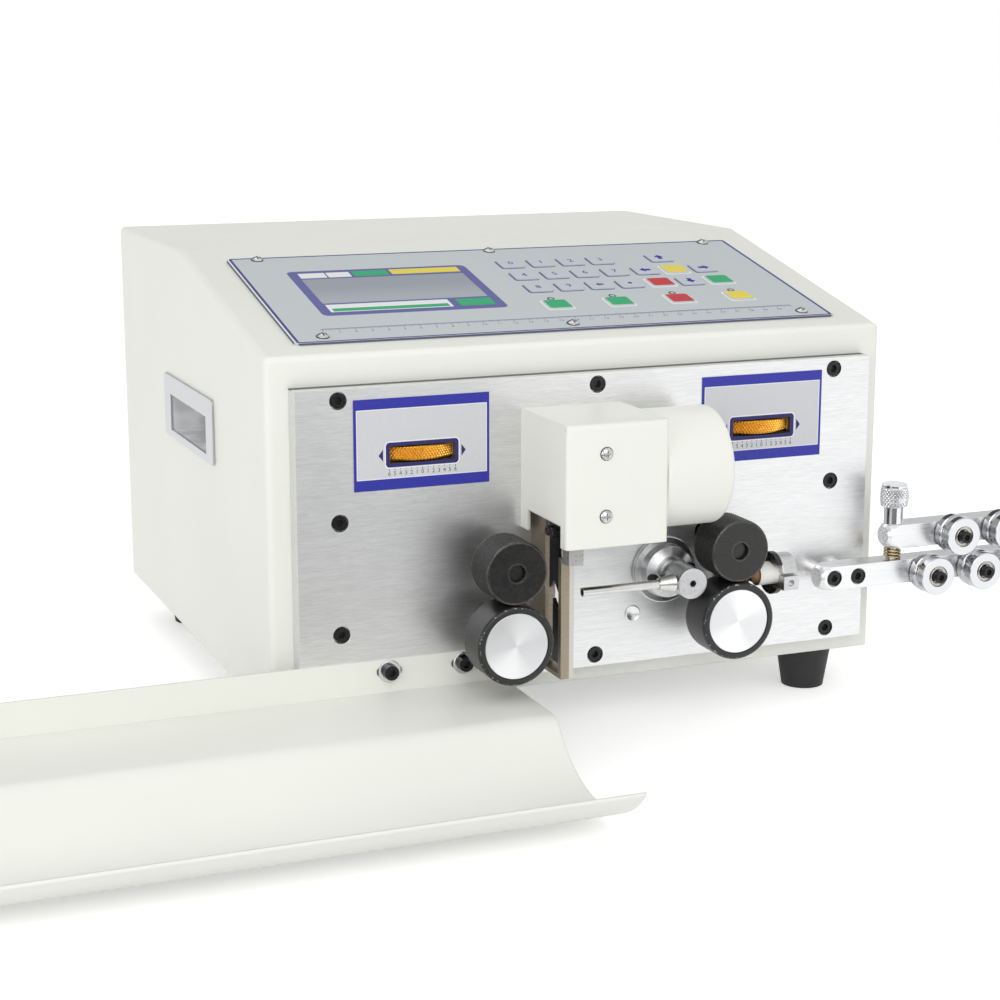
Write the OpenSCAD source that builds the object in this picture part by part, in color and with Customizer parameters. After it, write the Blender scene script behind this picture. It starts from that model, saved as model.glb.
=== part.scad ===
// Bench machine that measures, cuts and strips wire, as separate parts with real joints.
// X runs along the wire, Y from the front to the back and Z up. Lengths are in millimetres.
// Sizes count from the middle of the housing's front face, at the height of its underside.

/* [Housing] */
// Width of the housing
body_w = 400; // [384:1:440]
// Depth of the housing
body_d = 368; // [345:1:420]
// Height of the housing at the back
body_h = 254; // [242:1:275]
// Height at which the sloped console begins
front_h = 209.5; // [203:0.5:216]
// Depth of the sloped console, front to back
slope_d = 194; // [186:1:215]
// Thickness of the painted sheet
sheet_t = 2; // [1.5:0.1:2.5]
// Outside radius of the folds
bend_r = 4; // [3:0.5:6]
// Height by which the base pan shows below the cover
pan_show = 0.5; // [0.5:0.5:3]
// Height of the rubber feet
foot_h = 28; // [25:1:40]
// Radius of a foot where it meets the pan
foot_top_r = 18; // [16:0.5:22]
// Radius of a foot on the bench
foot_base_r = 13.5; // [10:0.5:15]

/* [Front plate] */
// Width of the aluminium front plate
plate_w = 372; // [366:1:380]
// Height of the front plate
plate_h = 180; // [176:1:186]
// Height of the plate's lower edge above the underside
plate_z = 12; // [10:0.5:14]
// Thickness of the front plate
plate_t = 12; // [10:0.5:14]

/* [Feed rollers] */
// Distance of each roller pair from the middle
roller_x = 71.5; // [70:0.5:74]
// Height of the drive rollers' axis
drive_z = 45; // [43:0.5:47]
// Diameter of the drive rollers
drive_d = 47; // [44:0.5:47.4]
// Diameter of the pressure rollers
press_d = 37.2; // [34:0.2:37.6]
// Length of the rollers
roller_len = 25; // [20:0.5:28]
// Distance from the housing to the rollers' front faces
roller_front = 61; // [59:0.5:64]
// Module of the feed gears
feed_module = 2; // [1.96:0.01:2.04]
// Greatest lift of a pressure roller
gap_lift = 2.5; // [1:0.1:2.5]
// Distance from the wire line to the housing
wire_out = 46; // [45:0.5:47]

/* [Gap wheels] */
// Radius of the thumbwheels
wheel_r = 30; // [27:0.5:31]
// Thickness of the thumbwheels
wheel_t = 8.5; // [6:0.5:9]
// Distance by which a wheel stands out of the plate
wheel_proud = 1.5; // [0.5:0.1:3]
// Distance of the wheels from the middle
wheel_x = 110.5; // [108:0.5:113]
// Height of the wheels
wheel_z = 152; // [148:0.5:155]

/* [Cutter] */
// Height of the blade pinion's axis
pinion_z = 139; // [138:0.5:141]
// Module of the blade racks
rack_module = 1.5; // [1.4:0.05:1.6]
// Rest gap between the tips of the blades
blade_gap = 7; // [5:0.5:9]
// Width of the blades
blade_w = 13; // [10:0.5:13]
// Thickness of the blades
blade_t = 2; // [1:0.1:2]
// Depth of the notch in each blade
notch_d = 6; // [3:0.5:7]
// Width of the guard box
guard_w = 63.5; // [60:0.5:66]
// Depth of the guard box in front of the plate
guard_d = 66.7; // [65:0.5:72]
// Radius of the motor cover
cover_r = 35; // [33:0.5:35]
// Length of the motor cover
cover_len = 43.5; // [42:0.5:45]

/* [Guide tube and inlet] */
// Distance of the swing axis from the middle
swing_x = 44.5; // [43.5:0.5:45]
// Outer radius of the guide tube
tube_r = 2.6; // [2.2:0.1:3]
// Inner radius of the guide tube
tube_bore_r = 1.8; // [1:0.1:2]
// Length of the tube from the swing axis to its tip
tube_len = 69; // [60:1:71]
// Outer radius of the inlet bush
bush_r = 7; // [6:0.5:8]
// Radius of the inlet bush's bore
bush_bore_r = 3; // [2:0.1:4]

/* [Straightener] */
// Side of the straightener's square bars
bar_side = 15; // [13:0.5:16]
// Gap between the two bars
bar_gap = 7.5; // [7:0.5:10]
// Radius of the straightener rollers
guide_r = 12; // [10:0.5:12.5]
// Distance between neighbouring rollers of one bar
guide_pitch = 35.2; // [33:0.2:40]
// Depth of the rollers' grooves
groove_d = 1.6; // [1:0.2:3]

/* [Outlet tray] */
// Length of the outlet tray
tray_len = 440; // [300:5:600]
// Thickness of the tray's sheet
tray_t = 1.5; // [1:0.1:2]
// Radius of the trough
trough_r = 74.5; // [68:0.5:80]
// Distance from the housing to the tray's front lip
tray_front = 206.6; // [200:0.2:212]

/* [Hidden] */
$fn = 64;

// Colours, as the photograph shows them
cream = [0.93, 0.93, 0.9];
alu = [0.82, 0.83, 0.84];
chrome = [0.88, 0.89, 0.91];
steel = [0.55, 0.53, 0.5];
brown_steel = [0.56, 0.49, 0.41];
black = [0.12, 0.12, 0.13];
gold = [0.9, 0.6, 0.14];

// Clearances: between sliding faces, round a running shaft, and past the end of a cutter
slide_gap = 0.3;
run_gap = 0.05;
over = 1;

// Places that several parts share
wire_y = -wire_out;
plate_y = -plate_t;
drive_teeth = 24;
press_teeth = 19;
gear_dist = feed_module * (drive_teeth + press_teeth) / 2;
press_z = drive_z + gear_dist;
wire_z = (drive_z + drive_d / 2 + press_z - press_d / 2) / 2;
drive_shaft_r = 6;
press_shaft_r = 5;
gear_y = 12;
gear_t = 10;
frame_y = 40;
frame_t = 6;
carriage_half_w = 20;
carriage_z = press_z - 14;
bridge_z = press_z + 24;
bridge_h = 14;
guide_post_r = 6;
guide_post_x = carriage_half_w + slide_gap + guide_post_r;
guide_post_z = press_z + 16;
foot_post_x = roller_x + 46.5;
foot_post_z = drive_z - 5;
wheel_y = plate_y - wheel_proud + wheel_r;
gap_screw_r = 5;
window_w = 40;
window_h = wheel_t + 2;

// The screws of the plate, the tray and the straightener: M5 socket heads
head_r = 4.4;
head_h = 5;
shank_r = 2.5;
hex_r = 2.4;
sink_r = 5.2;
screw_x = plate_w / 2 - 25.5;
plate_top = plate_z + plate_h;
plate_screw_at = [[-screw_x, plate_top - 7], [0, plate_top - 7], [screw_x, plate_top - 7],
    [-screw_x, plate_z + 102.4], [screw_x, plate_z + 102.4], [-screw_x, plate_z + 36.4],
    [0, plate_z + 7.2], [screw_x, plate_z + 7.2]];

// Cutter: two racks on opposite sides of one pinion, so the blades close and open together
pinion_teeth = 14;
pinion_r = rack_module * pinion_teeth / 2;
rack_x0 = -42.6;
rack_x1 = -33.6;
rack_root = pinion_r + 1.25 * rack_module;
rack_front = 9.6;
rack_back = 7.6;
bar_top = pinion_z + 19;
upper_bar_z = wire_z + 22;
lower_bar_z = wire_z - 42;
arm_h = 10;
upper_arm_z = wire_z + 35;
blade_x = rack_x0 + 0.2;
blade_pass = 0.2;
tongue_w = 4;
tongue_d = 3;
rail_w = 8.6;
guard_x0 = -49;
guard_x1 = guard_x0 + guard_w;
guard_y = plate_y - guard_d;
guard_z0 = pinion_z - 36;
guard_z1 = pinion_z + 35;
guard_t = 2;
cover_y = wire_y + 2.5;
motor_side = 42;
motor_shaft_r = 4;

// Swing axis, inlet and straightener
boss_r = 9.5;
boss_front = wire_y - 7;
swing_shaft_r = 6;
flange_r = 20.5;
flange_t = 4;
dish_r = 16.5;
dish_h = 9;
inlet_x = 99;
guide_len = 15;
axle_gap = 0.5;
bar_y = wire_y + guide_len / 2 + axle_gap;
lower_bar_mid = wire_z - guide_r;
lower_bar_top = lower_bar_mid + bar_side / 2 + 1.3;
bar_x0 = 141.5;
knob_x = 196;
first_roller_x = 215.7;
bar_tail = 45.5;
bar_x1 = first_roller_x + 2 * guide_pitch + bar_tail;
post_x = [150.3, 167.2];
post_z = lower_bar_top - bar_side / 2;
upper_bar_bottom = lower_bar_top + bar_gap;
upper_bar_mid = upper_bar_bottom + bar_side / 2;
axle_r = 3.2;
axle_head_r = 3.7;
bearing_r = 6.6;
knob_screw_r = 3.5;
pin_x = bar_x1 - 14;

// Outlet tray: a flange on the plate, a shelf, a bend and a trough that ends in a lip
tray_x1 = -60;
tray_x0 = tray_x1 - tray_len;
shelf_z = 9.7;
flange_top = 31.5;
tray_bend_r = 12;
trough_y = -151.2;
trough_z = shelf_z + 43.6;
tray_screw_x = [-132.4, -86];
tray_screw_z = 24.2;

// Console: places along the slope, counted from the front fold
slope_a = atan((body_h - front_h) / slope_d);
console_w = 353;
console_s0 = 16.5;
console_len = 153.5;
console_t = 1.5;
display_x = -90;
display_s = 102.5;
display_w = 101;
display_h = 44.5;
key_w = 16;
key_h = 15;
key_rise = 0.8;
console_screw_x = 157.5;
console_screw_s = [25.5, 165.5];

// Rear of the housing
inlet_proud = 5;
inlet_z = 60;
inlet_mid = 120;

// The whole part stands with the middle of its underside at the origin
mid_x = (tray_x0 + bar_x1) / 2;
mid_y = (body_d + inlet_proud - tray_front) / 2;

// Helpers: boxes between two corners, and rods along each axis

module placed() { translate([-mid_x, -mid_y, foot_h]) children(); }

module box(a, b) { translate(a) cube(b - a); }

module rod_x(y, z, x0, x1, r) { translate([x0, y, z]) rotate([0, 90, 0]) cylinder(r = r, h = x1 - x0); }

module rod_y(x, z, y0, y1, r) { translate([x, y1, z]) rotate([90, 0, 0]) cylinder(r = r, h = y1 - y0); }

module rod_z(x, y, z0, z1, r) { translate([x, y, z0]) cylinder(r = r, h = z1 - z0); }

module turned_y(x, y, z) { translate([x, y, z]) rotate([90, 0, 0]) rotate_extrude() children(); }

module turned_x(x, y, z) { translate([x, y, z]) rotate([0, 90, 0]) rotate_extrude() children(); }

module along_x(x0, x1) { translate([x0, 0, 0]) rotate([90, 0, 90]) linear_extrude(x1 - x0) children(); }

module along_y(y0, y1) { translate([0, y1, 0]) rotate([90, 0, 0]) linear_extrude(y1 - y0) children(); }

module rounded_rect(w, h, r) {
    square([w - 2 * r, h], center = true);
    square([w, h - 2 * r], center = true);
    for (x = [-1, 1], y = [-1, 1])
        translate([x * (w / 2 - r), y * (h / 2 - r)]) circle(r);
}

// A disc for turning, with its outer edges rounded
module round_disc(r, len, edge) {
    square([r - edge, len]);
    translate([0, edge]) square([r, len - 2 * edge]);
    for (y = [edge, len - edge])
        translate([r - edge, y]) circle(edge);
}

// A socket head screw that points into the machine, its head's face at y
module socket_screw(x, y, z, shank) {
    difference() {
        union() {
            rod_y(x, z, y, y + head_h, head_r);
            rod_y(x, z, y + head_h, y + head_h + shank, shank_r);
        }
        translate([x, y + 2.5, z]) rotate([90, 0, 0]) cylinder(r = hex_r, h = 2.5 + over, $fn = 6);
    }
}

// Gears: involute teeth, thinned by the backlash, with a tooth on the +X side
function inv_deg(a) = tan(a) * 180 / PI - a;
function tooth_half(m, n, r, backlash) = let (rp = m * n / 2, rb = rp * cos(20))
    (PI * m / 2 - backlash) / 2 / rp * 180 / PI + inv_deg(20) - inv_deg(acos(min(1, rb / max(r, rb))));

module gear_2d(m, n, backlash) {
    root = m * (n / 2 - 1.25);
    base = max(root + 0.1, m * n / 2 * cos(20));
    tip = m * (n / 2 + 1);
    flank = [root, base, (base + tip) / 2, tip];
    polygon([for (i = [0 : n - 1], j = [0 : 7])
        let (r = flank[j < 4 ? j : 7 - j], a = tooth_half(m, n, r, backlash))
        r * [cos(i * 360 / n + (j < 4 ? -a : a)), sin(i * 360 / n + (j < 4 ? -a : a))]]);
}

// Housing

housing_fold = [bend_r, front_h + bend_r * tan(slope_a) - bend_r / cos(slope_a)];
housing_top = [slope_d + bend_r * (1 / cos(slope_a) - 1) / tan(slope_a), body_h - bend_r];
housing_past = 20;

module housing_form(skin) {
    centres = [[bend_r, -housing_past], housing_fold, housing_top, [body_d + housing_past, body_h - bend_r],
        [body_d + housing_past, -housing_past]];
    hull()
        for (x = [-1, 1], c = centres)
            translate([x * (body_w / 2 - bend_r), c[0], c[1]]) sphere(bend_r - skin, $fn = 24);
}

handle_y = 177;
handle_z = 147.7;
handle_w = 126;
handle_h = 41;
grip_w = 93;
grip_h = 23.7;
grip_z = 143.85;
cup_t = 1.5;
cup_depth = 26;
cup_top = 163;

module cup_hole(gap, x0, x1) {
    box([x0, handle_y - grip_w / 2 - cup_t - gap, grip_z - grip_h / 2 - cup_t - gap],
        [x1, handle_y + grip_w / 2 + cup_t + gap, cup_top + gap]);
}

module housing_cover() {
    color(cream) placed() difference() {
        intersection() {
            difference() {
                housing_form(0);
                housing_form(sheet_t);
            }
            box([-body_w, -over, pan_show], [body_w, body_d, body_h + over]);
        }
        box([-plate_w / 2 + 36, -over, plate_z + 16], [plate_w / 2 - 36, sheet_t + over, plate_top - 16]);
        for (x = [-1, 1]) cup_hole(slide_gap, x * body_w / 2 - 5, x * body_w / 2 + 5);
    }
}

pan_gap = sheet_t + 0.4;
pan_wall = 25;

module pan_outline(inset) {
    in = pan_gap + inset;
    translate([0, body_d / 2]) rounded_rect(body_w - 2 * in, body_d - 2 * in, bend_r - inset);
}

module base_pan() {
    color(cream) placed() difference() {
        linear_extrude(pan_wall) pan_outline(0);
        translate([0, 0, sheet_t]) linear_extrude(pan_wall) pan_outline(sheet_t);
    }
}

vent_w = 40;
vent_h = 4;
vent_pitch = 9;

module rear_panel() {
    panel_w = body_w - 2 * pan_gap;
    panel_h = body_h - pan_gap - pan_show;
    color(cream) placed() along_y(body_d - sheet_t, body_d) difference() {
        translate([0, pan_show + panel_h / 2]) rounded_rect(panel_w, panel_h, bend_r);
        translate([inlet_mid, inlet_z]) square([inlet_hole_w, inlet_hole_h], center = true);
        for (x = [-1, 0, 1], i = [0 : 7])
            translate([x * 60 - 40, 120 + i * vent_pitch]) rounded_rect(vent_w, vent_h, vent_h / 2 - 0.01);
    }
}

foot_x = body_w / 2 - 34;
foot_at = [for (x = [-1, 1], y = [24, body_d - 43]) [x * foot_x, y]];

module rubber_feet() {
    color(black) placed()
        for (p = foot_at)
            translate([p[0], p[1], -foot_h]) cylinder(r1 = foot_base_r, r2 = foot_top_r, h = foot_h);
}

// Front plate and what is fixed on it

module front_plate() {
    slot_r = press_shaft_r + slide_gap;
    color(alu) placed() difference() {
        box([-plate_w / 2, plate_y, plate_z], [plate_w / 2, 0, plate_top]);
        for (p = plate_screw_at) {
            rod_y(p[0], p[1], plate_y - over, plate_y + head_h + 0.5, sink_r);
            rod_y(p[0], p[1], plate_y, over, shank_r + 0.2);
        }
        for (x = [-1, 1]) {
            rod_y(x * roller_x, drive_z, plate_y - over, over, drive_shaft_r + run_gap);
            for (dz = [0, gap_lift]) rod_y(x * roller_x, press_z + dz, plate_y - over, over, slot_r);
            box([x * roller_x - slot_r, plate_y - over, press_z],
                [x * roller_x + slot_r, over, press_z + gap_lift]);
            box([x * wheel_x - window_w / 2, plate_y - over, wheel_z - window_h / 2],
                [x * wheel_x + window_w / 2, over, wheel_z + window_h / 2]);
            rod_z(x * wheel_x, wheel_y, wheel_z - window_h / 2, wheel_z + window_h / 2, wheel_r + over);
        }
        rod_y(swing_x, wire_z, plate_y - over, over, swing_shaft_r + run_gap);
        for (x = tray_screw_x) rod_y(x, tray_screw_z, plate_y - over, plate_y + 8, shank_r + 0.1);
    }
}

module socket_screws() {
    color(black) placed() {
        for (p = plate_screw_at) socket_screw(p[0], plate_y + 0.5, p[1], plate_t - head_h - 1);
        for (x = tray_screw_x) socket_screw(x, plate_y - tray_t - head_h, tray_screw_z, tray_t + 6);
        for (x = post_x) socket_screw(x, bar_y + 0.4, post_z, bar_side + 4);
    }
}

label_w = 82.5;
label_h = 53;
label_z = wheel_z + 6.4;
label_t = 0.6;

module scale_plates() {
    color([0.25, 0.24, 0.66]) placed()
        for (x = [-1, 1])
            along_y(plate_y - label_t, plate_y) difference() {
                translate([x * wheel_x, label_z]) square([label_w, label_h], center = true);
                translate([x * wheel_x, wheel_z]) square([window_w, window_h], center = true);
            }
}

module on_slope() { translate([0, 0, front_h]) rotate([slope_a, 0, 0]) children(); }

key_x = 4;
key_pitch = 21.2;
key_s = 137;
key_step = 23.6;
arrow_x = 89.5;
run_key_s = 58.5;
run_key_pitch = 42;
key_at = concat(
    [for (i = [0 : 3], j = [0 : 2]) [key_x + i * key_pitch, key_s - j * key_step]],
    [for (i = [0 : 2], j = [1 : 2]) [arrow_x + i * key_pitch, key_s - j * key_step]],
    [[arrow_x + key_pitch, key_s]],
    [for (i = [0 : 3]) [key_x + i * run_key_pitch, run_key_s]]);

module console_panel() {
    color([0.72, 0.76, 0.79]) placed() on_slope() {
        difference() {
            translate([0, console_s0 + console_len / 2, 0]) linear_extrude(console_t)
                rounded_rect(console_w, console_len, 3);
            translate([display_x, display_s, -over]) linear_extrude(console_t + 2 * over)
                square([display_w, display_h], center = true);
            for (x = [-1, 0, 1], s = console_screw_s)
                translate([x * console_screw_x, s, -over])
                    cylinder(r = cross_shank_r + 0.2, h = console_t + 2 * over);
        }
        for (k = key_at)
            translate([k[0], k[1], console_t]) linear_extrude(key_rise) rounded_rect(key_w, key_h, 2);
    }
}

module display_window() {
    color([0.62, 0.66, 0.66]) placed() on_slope()
        translate([display_x, display_s, 0]) linear_extrude(console_t - 0.3)
            square([display_w - 0.2, display_h - 0.2], center = true);
}

cross_head_r = 3.6;
cross_shank_r = 1.9;
guard_screw_x = -24.8;
guard_screw_dz = 18;

// A pan head screw with a cross in it; its seat lies at z = 0 and its shank points down
module cross_screw(shank) {
    difference() {
        rotate_extrude() intersection() {
            translate([0, 2.2 - 5]) circle(5);
            square([cross_head_r, 2.2]);
        }
        for (a = [0, 90]) rotate(a) translate([-2, -0.35, 1]) cube([4, 0.7, 2]);
    }
    translate([0, 0, -shank]) cylinder(r = cross_shank_r, h = shank);
}

module cross_screws() {
    color(chrome) placed() {
        on_slope()
            for (x = [-1, 0, 1], s = console_screw_s)
                translate([x * console_screw_x, s, console_t]) cross_screw(console_t);
        for (z = [-1, 1])
            translate([guard_screw_x, guard_y, pinion_z + z * guard_screw_dz])
                rotate([90, 0, 0]) cross_screw(guard_t + 4);
    }
}

module carry_handles() {
    color(chrome) placed()
        for (x = [0, 1]) mirror([x, 0, 0]) difference() {
            union() {
                translate([-body_w / 2 - cup_t, handle_y, handle_z]) rotate([90, 0, 90])
                    linear_extrude(cup_t) rounded_rect(handle_w, handle_h, 3);
                cup_hole(0, -body_w / 2, -body_w / 2 + cup_depth);
            }
            cup_hole(-cup_t, -body_w / 2, -body_w / 2 + cup_depth - cup_t);
            box([-body_w / 2 - cup_t - over, handle_y - grip_w / 2, grip_z - grip_h / 2],
                [-body_w / 2 + over, handle_y + grip_w / 2, grip_z + grip_h / 2]);
        }
}

// Feed rollers, left at side -1 and right at side 1

tyre_wall = 3.9;
cap_depth = 5;
roller_back = roller_len - roller_front;

module drive_tyre(side) {
    color(black) placed() difference() {
        turned_y(side * roller_x, roller_back, drive_z) round_disc(drive_d / 2, roller_len, 2);
        rod_y(side * roller_x, drive_z, -roller_front, roller_back + over, drive_shaft_r);
        rod_y(side * roller_x, drive_z, -roller_front - over, -roller_front + cap_depth,
            drive_d / 2 - tyre_wall);
    }
}

module drive_cap(side) {
    color(alu) placed()
        turned_y(side * roller_x, -roller_front + cap_depth, drive_z)
            intersection() {
                round_disc(drive_d / 2 - tyre_wall - 0.02, cap_depth - 0.5, 0.6);
                square(drive_d);
            }
}

module drive_shaft(side) {
    color(steel) placed() {
        rod_y(side * roller_x, drive_z, -roller_front + cap_depth, motor_y + 12, drive_shaft_r);
        translate([side * roller_x, gear_y + gear_t, drive_z]) rotate([90, 0, 0]) linear_extrude(gear_t)
            rotate(90 + 180 / drive_teeth) gear_2d(feed_module, drive_teeth, gear_backlash);
    }
}

gear_backlash = 0.5;
motor_y = frame_y + frame_t;

module pressure_roller(side) {
    color(black) placed() difference() {
        turned_y(side * roller_x, roller_back, press_z) round_disc(press_d / 2, roller_len, 1);
        rod_y(side * roller_x, press_z, -roller_front - over, roller_back + over, press_shaft_r);
    }
}

module pressure_shaft(side) {
    color(steel) placed() {
        rod_y(side * roller_x, press_z, -roller_front + 2.5, frame_y - slide_gap, press_shaft_r);
        translate([side * roller_x, gear_y + gear_t, press_z]) rotate([90, 0, 0]) linear_extrude(gear_t)
            rotate(-90) gear_2d(feed_module, press_teeth, gear_backlash);
    }
}

cheek_t = 8;

module carriage(side) {
    color(alu) placed() difference() {
        union() {
            for (y = [slide_gap, frame_y - slide_gap - cheek_t])
                box([side * roller_x - carriage_half_w, y, carriage_z],
                    [side * roller_x + carriage_half_w, y + cheek_t, bridge_z]);
            box([min(side * (roller_x - carriage_half_w), side * (wheel_x + 12)), slide_gap, bridge_z],
                [max(side * (roller_x - carriage_half_w), side * (wheel_x + 12)),
                    frame_y - slide_gap, bridge_z + bridge_h]);
        }
        rod_y(side * roller_x, press_z, 0, frame_y, press_shaft_r + run_gap);
        rod_z(side * wheel_x, wheel_y, bridge_z - over, bridge_z + bridge_h + over, gap_screw_r + slide_gap);
    }
}

module gap_wheel(side) {
    color(gold) placed() {
        translate([side * wheel_x, wheel_y, wheel_z - wheel_t / 2])
            rotate_extrude() round_side(wheel_r, wheel_t, 1);
        rod_z(side * wheel_x, wheel_y, bridge_z + over, wheel_z + window_h / 2 + wheel_arm_t, gap_screw_r);
    }
}

module round_side(r, len, edge) {
    intersection() {
        round_disc(r, len, edge);
        square([r, len]);
    }
}

wheel_arm_t = 8;

module wheel_brackets() {
    color(steel) placed()
        for (x = [-1, 1], z = [wheel_z - window_h / 2 - wheel_arm_t, wheel_z + window_h / 2])
            difference() {
                box([x * wheel_x - 13, 0, z], [x * wheel_x + 13, wheel_y + 13, z + wheel_arm_t]);
                rod_z(x * wheel_x, wheel_y, z - over, z + wheel_arm_t + over, gap_screw_r + run_gap);
            }
}

module bearing_frame() {
    color(alu) placed() {
        difference() {
            box([-foot_post_x - 9, frame_y, foot_post_z - 9],
                [foot_post_x + 9, frame_y + frame_t, guide_post_z + 9]);
            for (x = [-1, 1])
                rod_y(x * roller_x, drive_z, frame_y - over, frame_y + frame_t + over, drive_shaft_r + run_gap);
        }
        for (x = [-1, 1]) {
            rod_y(x * foot_post_x, foot_post_z, 0, frame_y, guide_post_r);
            for (d = [-1, 1]) rod_y(x * roller_x + d * guide_post_x, guide_post_z, 0, frame_y, guide_post_r);
        }
    }
}

feed_motor_side = 57;
feed_motor_len = 56;

module feed_motors() {
    color(black) placed()
        for (x = [-1, 1])
            difference() {
                along_y(motor_y, motor_y + feed_motor_len)
                    translate([x * roller_x, drive_z]) rounded_rect(feed_motor_side, feed_motor_side, 5);
                rod_y(x * roller_x, drive_z, motor_y - over, motor_y + 13, drive_shaft_r + slide_gap);
            }
}

// Cutter head

module guard_hollow(x0, x1) {
    box([x0, guard_y + guard_t, guard_z0 - over], [x1, plate_y + over, guard_z1 - guard_t]);
}

notch_z = pinion_z - 23.6;

guard_bend_r = 2.5;

// What a rounded upright edge of the guard leaves away; side is 1 on the left and -1 on the right
module bend_waste(x, side) {
    in = x + side * guard_bend_r;
    out = x - side * over;
    difference() {
        box([min(in, out), guard_y - over, guard_z0 - over],
            [max(in, out), guard_y + guard_bend_r, guard_z1 + over]);
        rod_z(in, guard_y + guard_bend_r, guard_z0 - 2 * over, guard_z1 + 2 * over, guard_bend_r);
    }
}

module cutter_guard() {
    color(cream) placed() difference() {
        along_x(guard_x0, guard_x1) difference() {
            translate([(guard_y + plate_y) / 2, pinion_z - 0.5])
                square([guard_d, guard_z1 - guard_z0], center = true);
            translate([guard_y, guard_z1]) square(6, center = true);
        }
        guard_hollow(guard_x0 + guard_t, guard_x1 - guard_t);
        box([guard_x0 - over, guard_y + 8.7, guard_z0 - over],
            [guard_x0 + guard_t + over, plate_y - 10, notch_z]);
        box([guard_x1 - guard_t - over, wire_y - motor_side / 2 - 1, pinion_z - motor_side / 2 - 1],
            [guard_x1 + over, wire_y + motor_side / 2 + 1, pinion_z + motor_side / 2 + 1]);
        for (z = [-1, 1])
            rod_y(guard_screw_x, pinion_z + z * guard_screw_dz, guard_y - over, guard_y + guard_t + over,
                cross_shank_r + 0.2);
        bend_waste(guard_x0, 1);
        bend_waste(guard_x1, -1);
    }
    color(cream) placed() difference() {
        intersection() {
            along_x(guard_x0, guard_x1) difference() {
                translate([guard_y + 3, guard_z1 - 3]) circle(3);
                translate([guard_y + 3, guard_z1 - 3]) circle(1);
            }
            box([guard_x0, guard_y, guard_z1 - 3], [guard_x1, guard_y + 3, guard_z1]);
        }
        bend_waste(guard_x0, 1);
        bend_waste(guard_x1, -1);
    }
}

module motor_cover() {
    color(cream) placed() difference() {
        turned_x(guard_x1, cover_y, pinion_z) round_side(cover_r, cover_len, 3);
        translate([guard_x1 - over, cover_y, pinion_z]) rotate([0, 90, 0])
            cylinder(r = cover_r - guard_t, h = cover_len - guard_t + over);
        box([0, plate_y, 0], [guard_x1 + cover_len + over, 0, body_h]);
    }
}

module blade_motor() {
    color(black) placed() difference() {
        along_x(guard_x1 - guard_t, guard_x1 + cover_len - guard_t - 1)
            translate([wire_y, pinion_z]) rounded_rect(motor_side, motor_side, 4);
        rod_x(wire_y, pinion_z, 0, guard_x1 + 6, motor_shaft_r + slide_gap);
    }
}

rail_z0 = 21;
rail_foot_h = 2.5;
front_rail_y = wire_y - blade_w / 2 - 0.5;
front_rail_t = 4;
rail_bevel_w = 3.4;
rail_bevel_d = 1.3;

module blade_rails() {
    face = front_rail_y - front_rail_t;
    rail_x1 = rack_x0 + rail_w;
    rail_front = wire_y + rack_root + rack_back + slide_gap;
    groove = tongue_w / 2 + slide_gap;
    mid = (rack_x0 + rack_x1) / 2;
    color(brown_steel) placed() {
        difference() {
            box([rack_x0, rail_front, rail_z0], [rack_x0 + rail_w, plate_y, guard_z1 - guard_t - 2]);
            box([mid - groove, rail_front - over, rail_z0 + rail_foot_h],
                [mid + groove, rail_front + tongue_d, guard_z1]);
        }
        translate([0, 0, rail_z0]) linear_extrude(upper_bar_z + 2 - rail_z0)
            polygon([[rack_x0, front_rail_y], [rack_x0, face], [rail_x1 - rail_bevel_w, face],
                [rail_x1, face + rail_bevel_d], [rail_x1, front_rail_y]]);
        box([rack_x0, front_rail_y, rail_z0], [rack_x0 + rail_w, rail_front, rail_z0 + rail_foot_h]);
    }
}

module blade_guide() {
    mid = (rack_x0 + rack_x1) / 2;
    back = wire_y - rack_root - rack_front - slide_gap;
    groove = tongue_w / 2 + slide_gap;
    color(steel) placed() difference() {
        box([rack_x0 - 2, guard_y + guard_t, guard_z0 + 4],
            [guard_screw_x + 8, back, guard_z1 - guard_t - 2]);
        box([mid - groove, back - tongue_d, guard_z0], [mid + groove, back + over, guard_z1]);
        for (z = [-1, 1])
            rod_y(guard_screw_x, pinion_z + z * guard_screw_dz, guard_y, guard_y + guard_t + 6,
                cross_shank_r + 0.1);
    }
}

rack_backlash = 0.5;
rack_teeth = 7;

// One side of a rack: teeth that point along +x, the pitch line at x = 0 and a gap or tooth at y = 0
module rack_2d(back, y0, y1, shift) {
    half = (PI * rack_module / 2 - rack_backlash) / 2;
    lean = tan(20) * rack_module;
    ded = 1.25 * rack_module;
    add = 0.8 * rack_module;
    translate([-ded - back, y0]) square([back, y1 - y0]);
    for (i = [-(rack_teeth - 1) / 2 : (rack_teeth - 1) / 2])
        translate([0, (i + shift) * PI * rack_module])
            polygon([[-ded - 0.1, -half - 1.25 * lean], [add, -half + 0.8 * lean],
                [add, half - 0.8 * lean], [-ded - 0.1, half + 1.25 * lean]]);
}

module blade_pinion() {
    color(steel) placed() {
        along_x(rack_x0, rack_x1) translate([wire_y, pinion_z])
            gear_2d(rack_module, pinion_teeth, rack_backlash);
        rod_x(wire_y, pinion_z, rack_x0, guard_x1 + 5, motor_shaft_r);
    }
}

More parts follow.
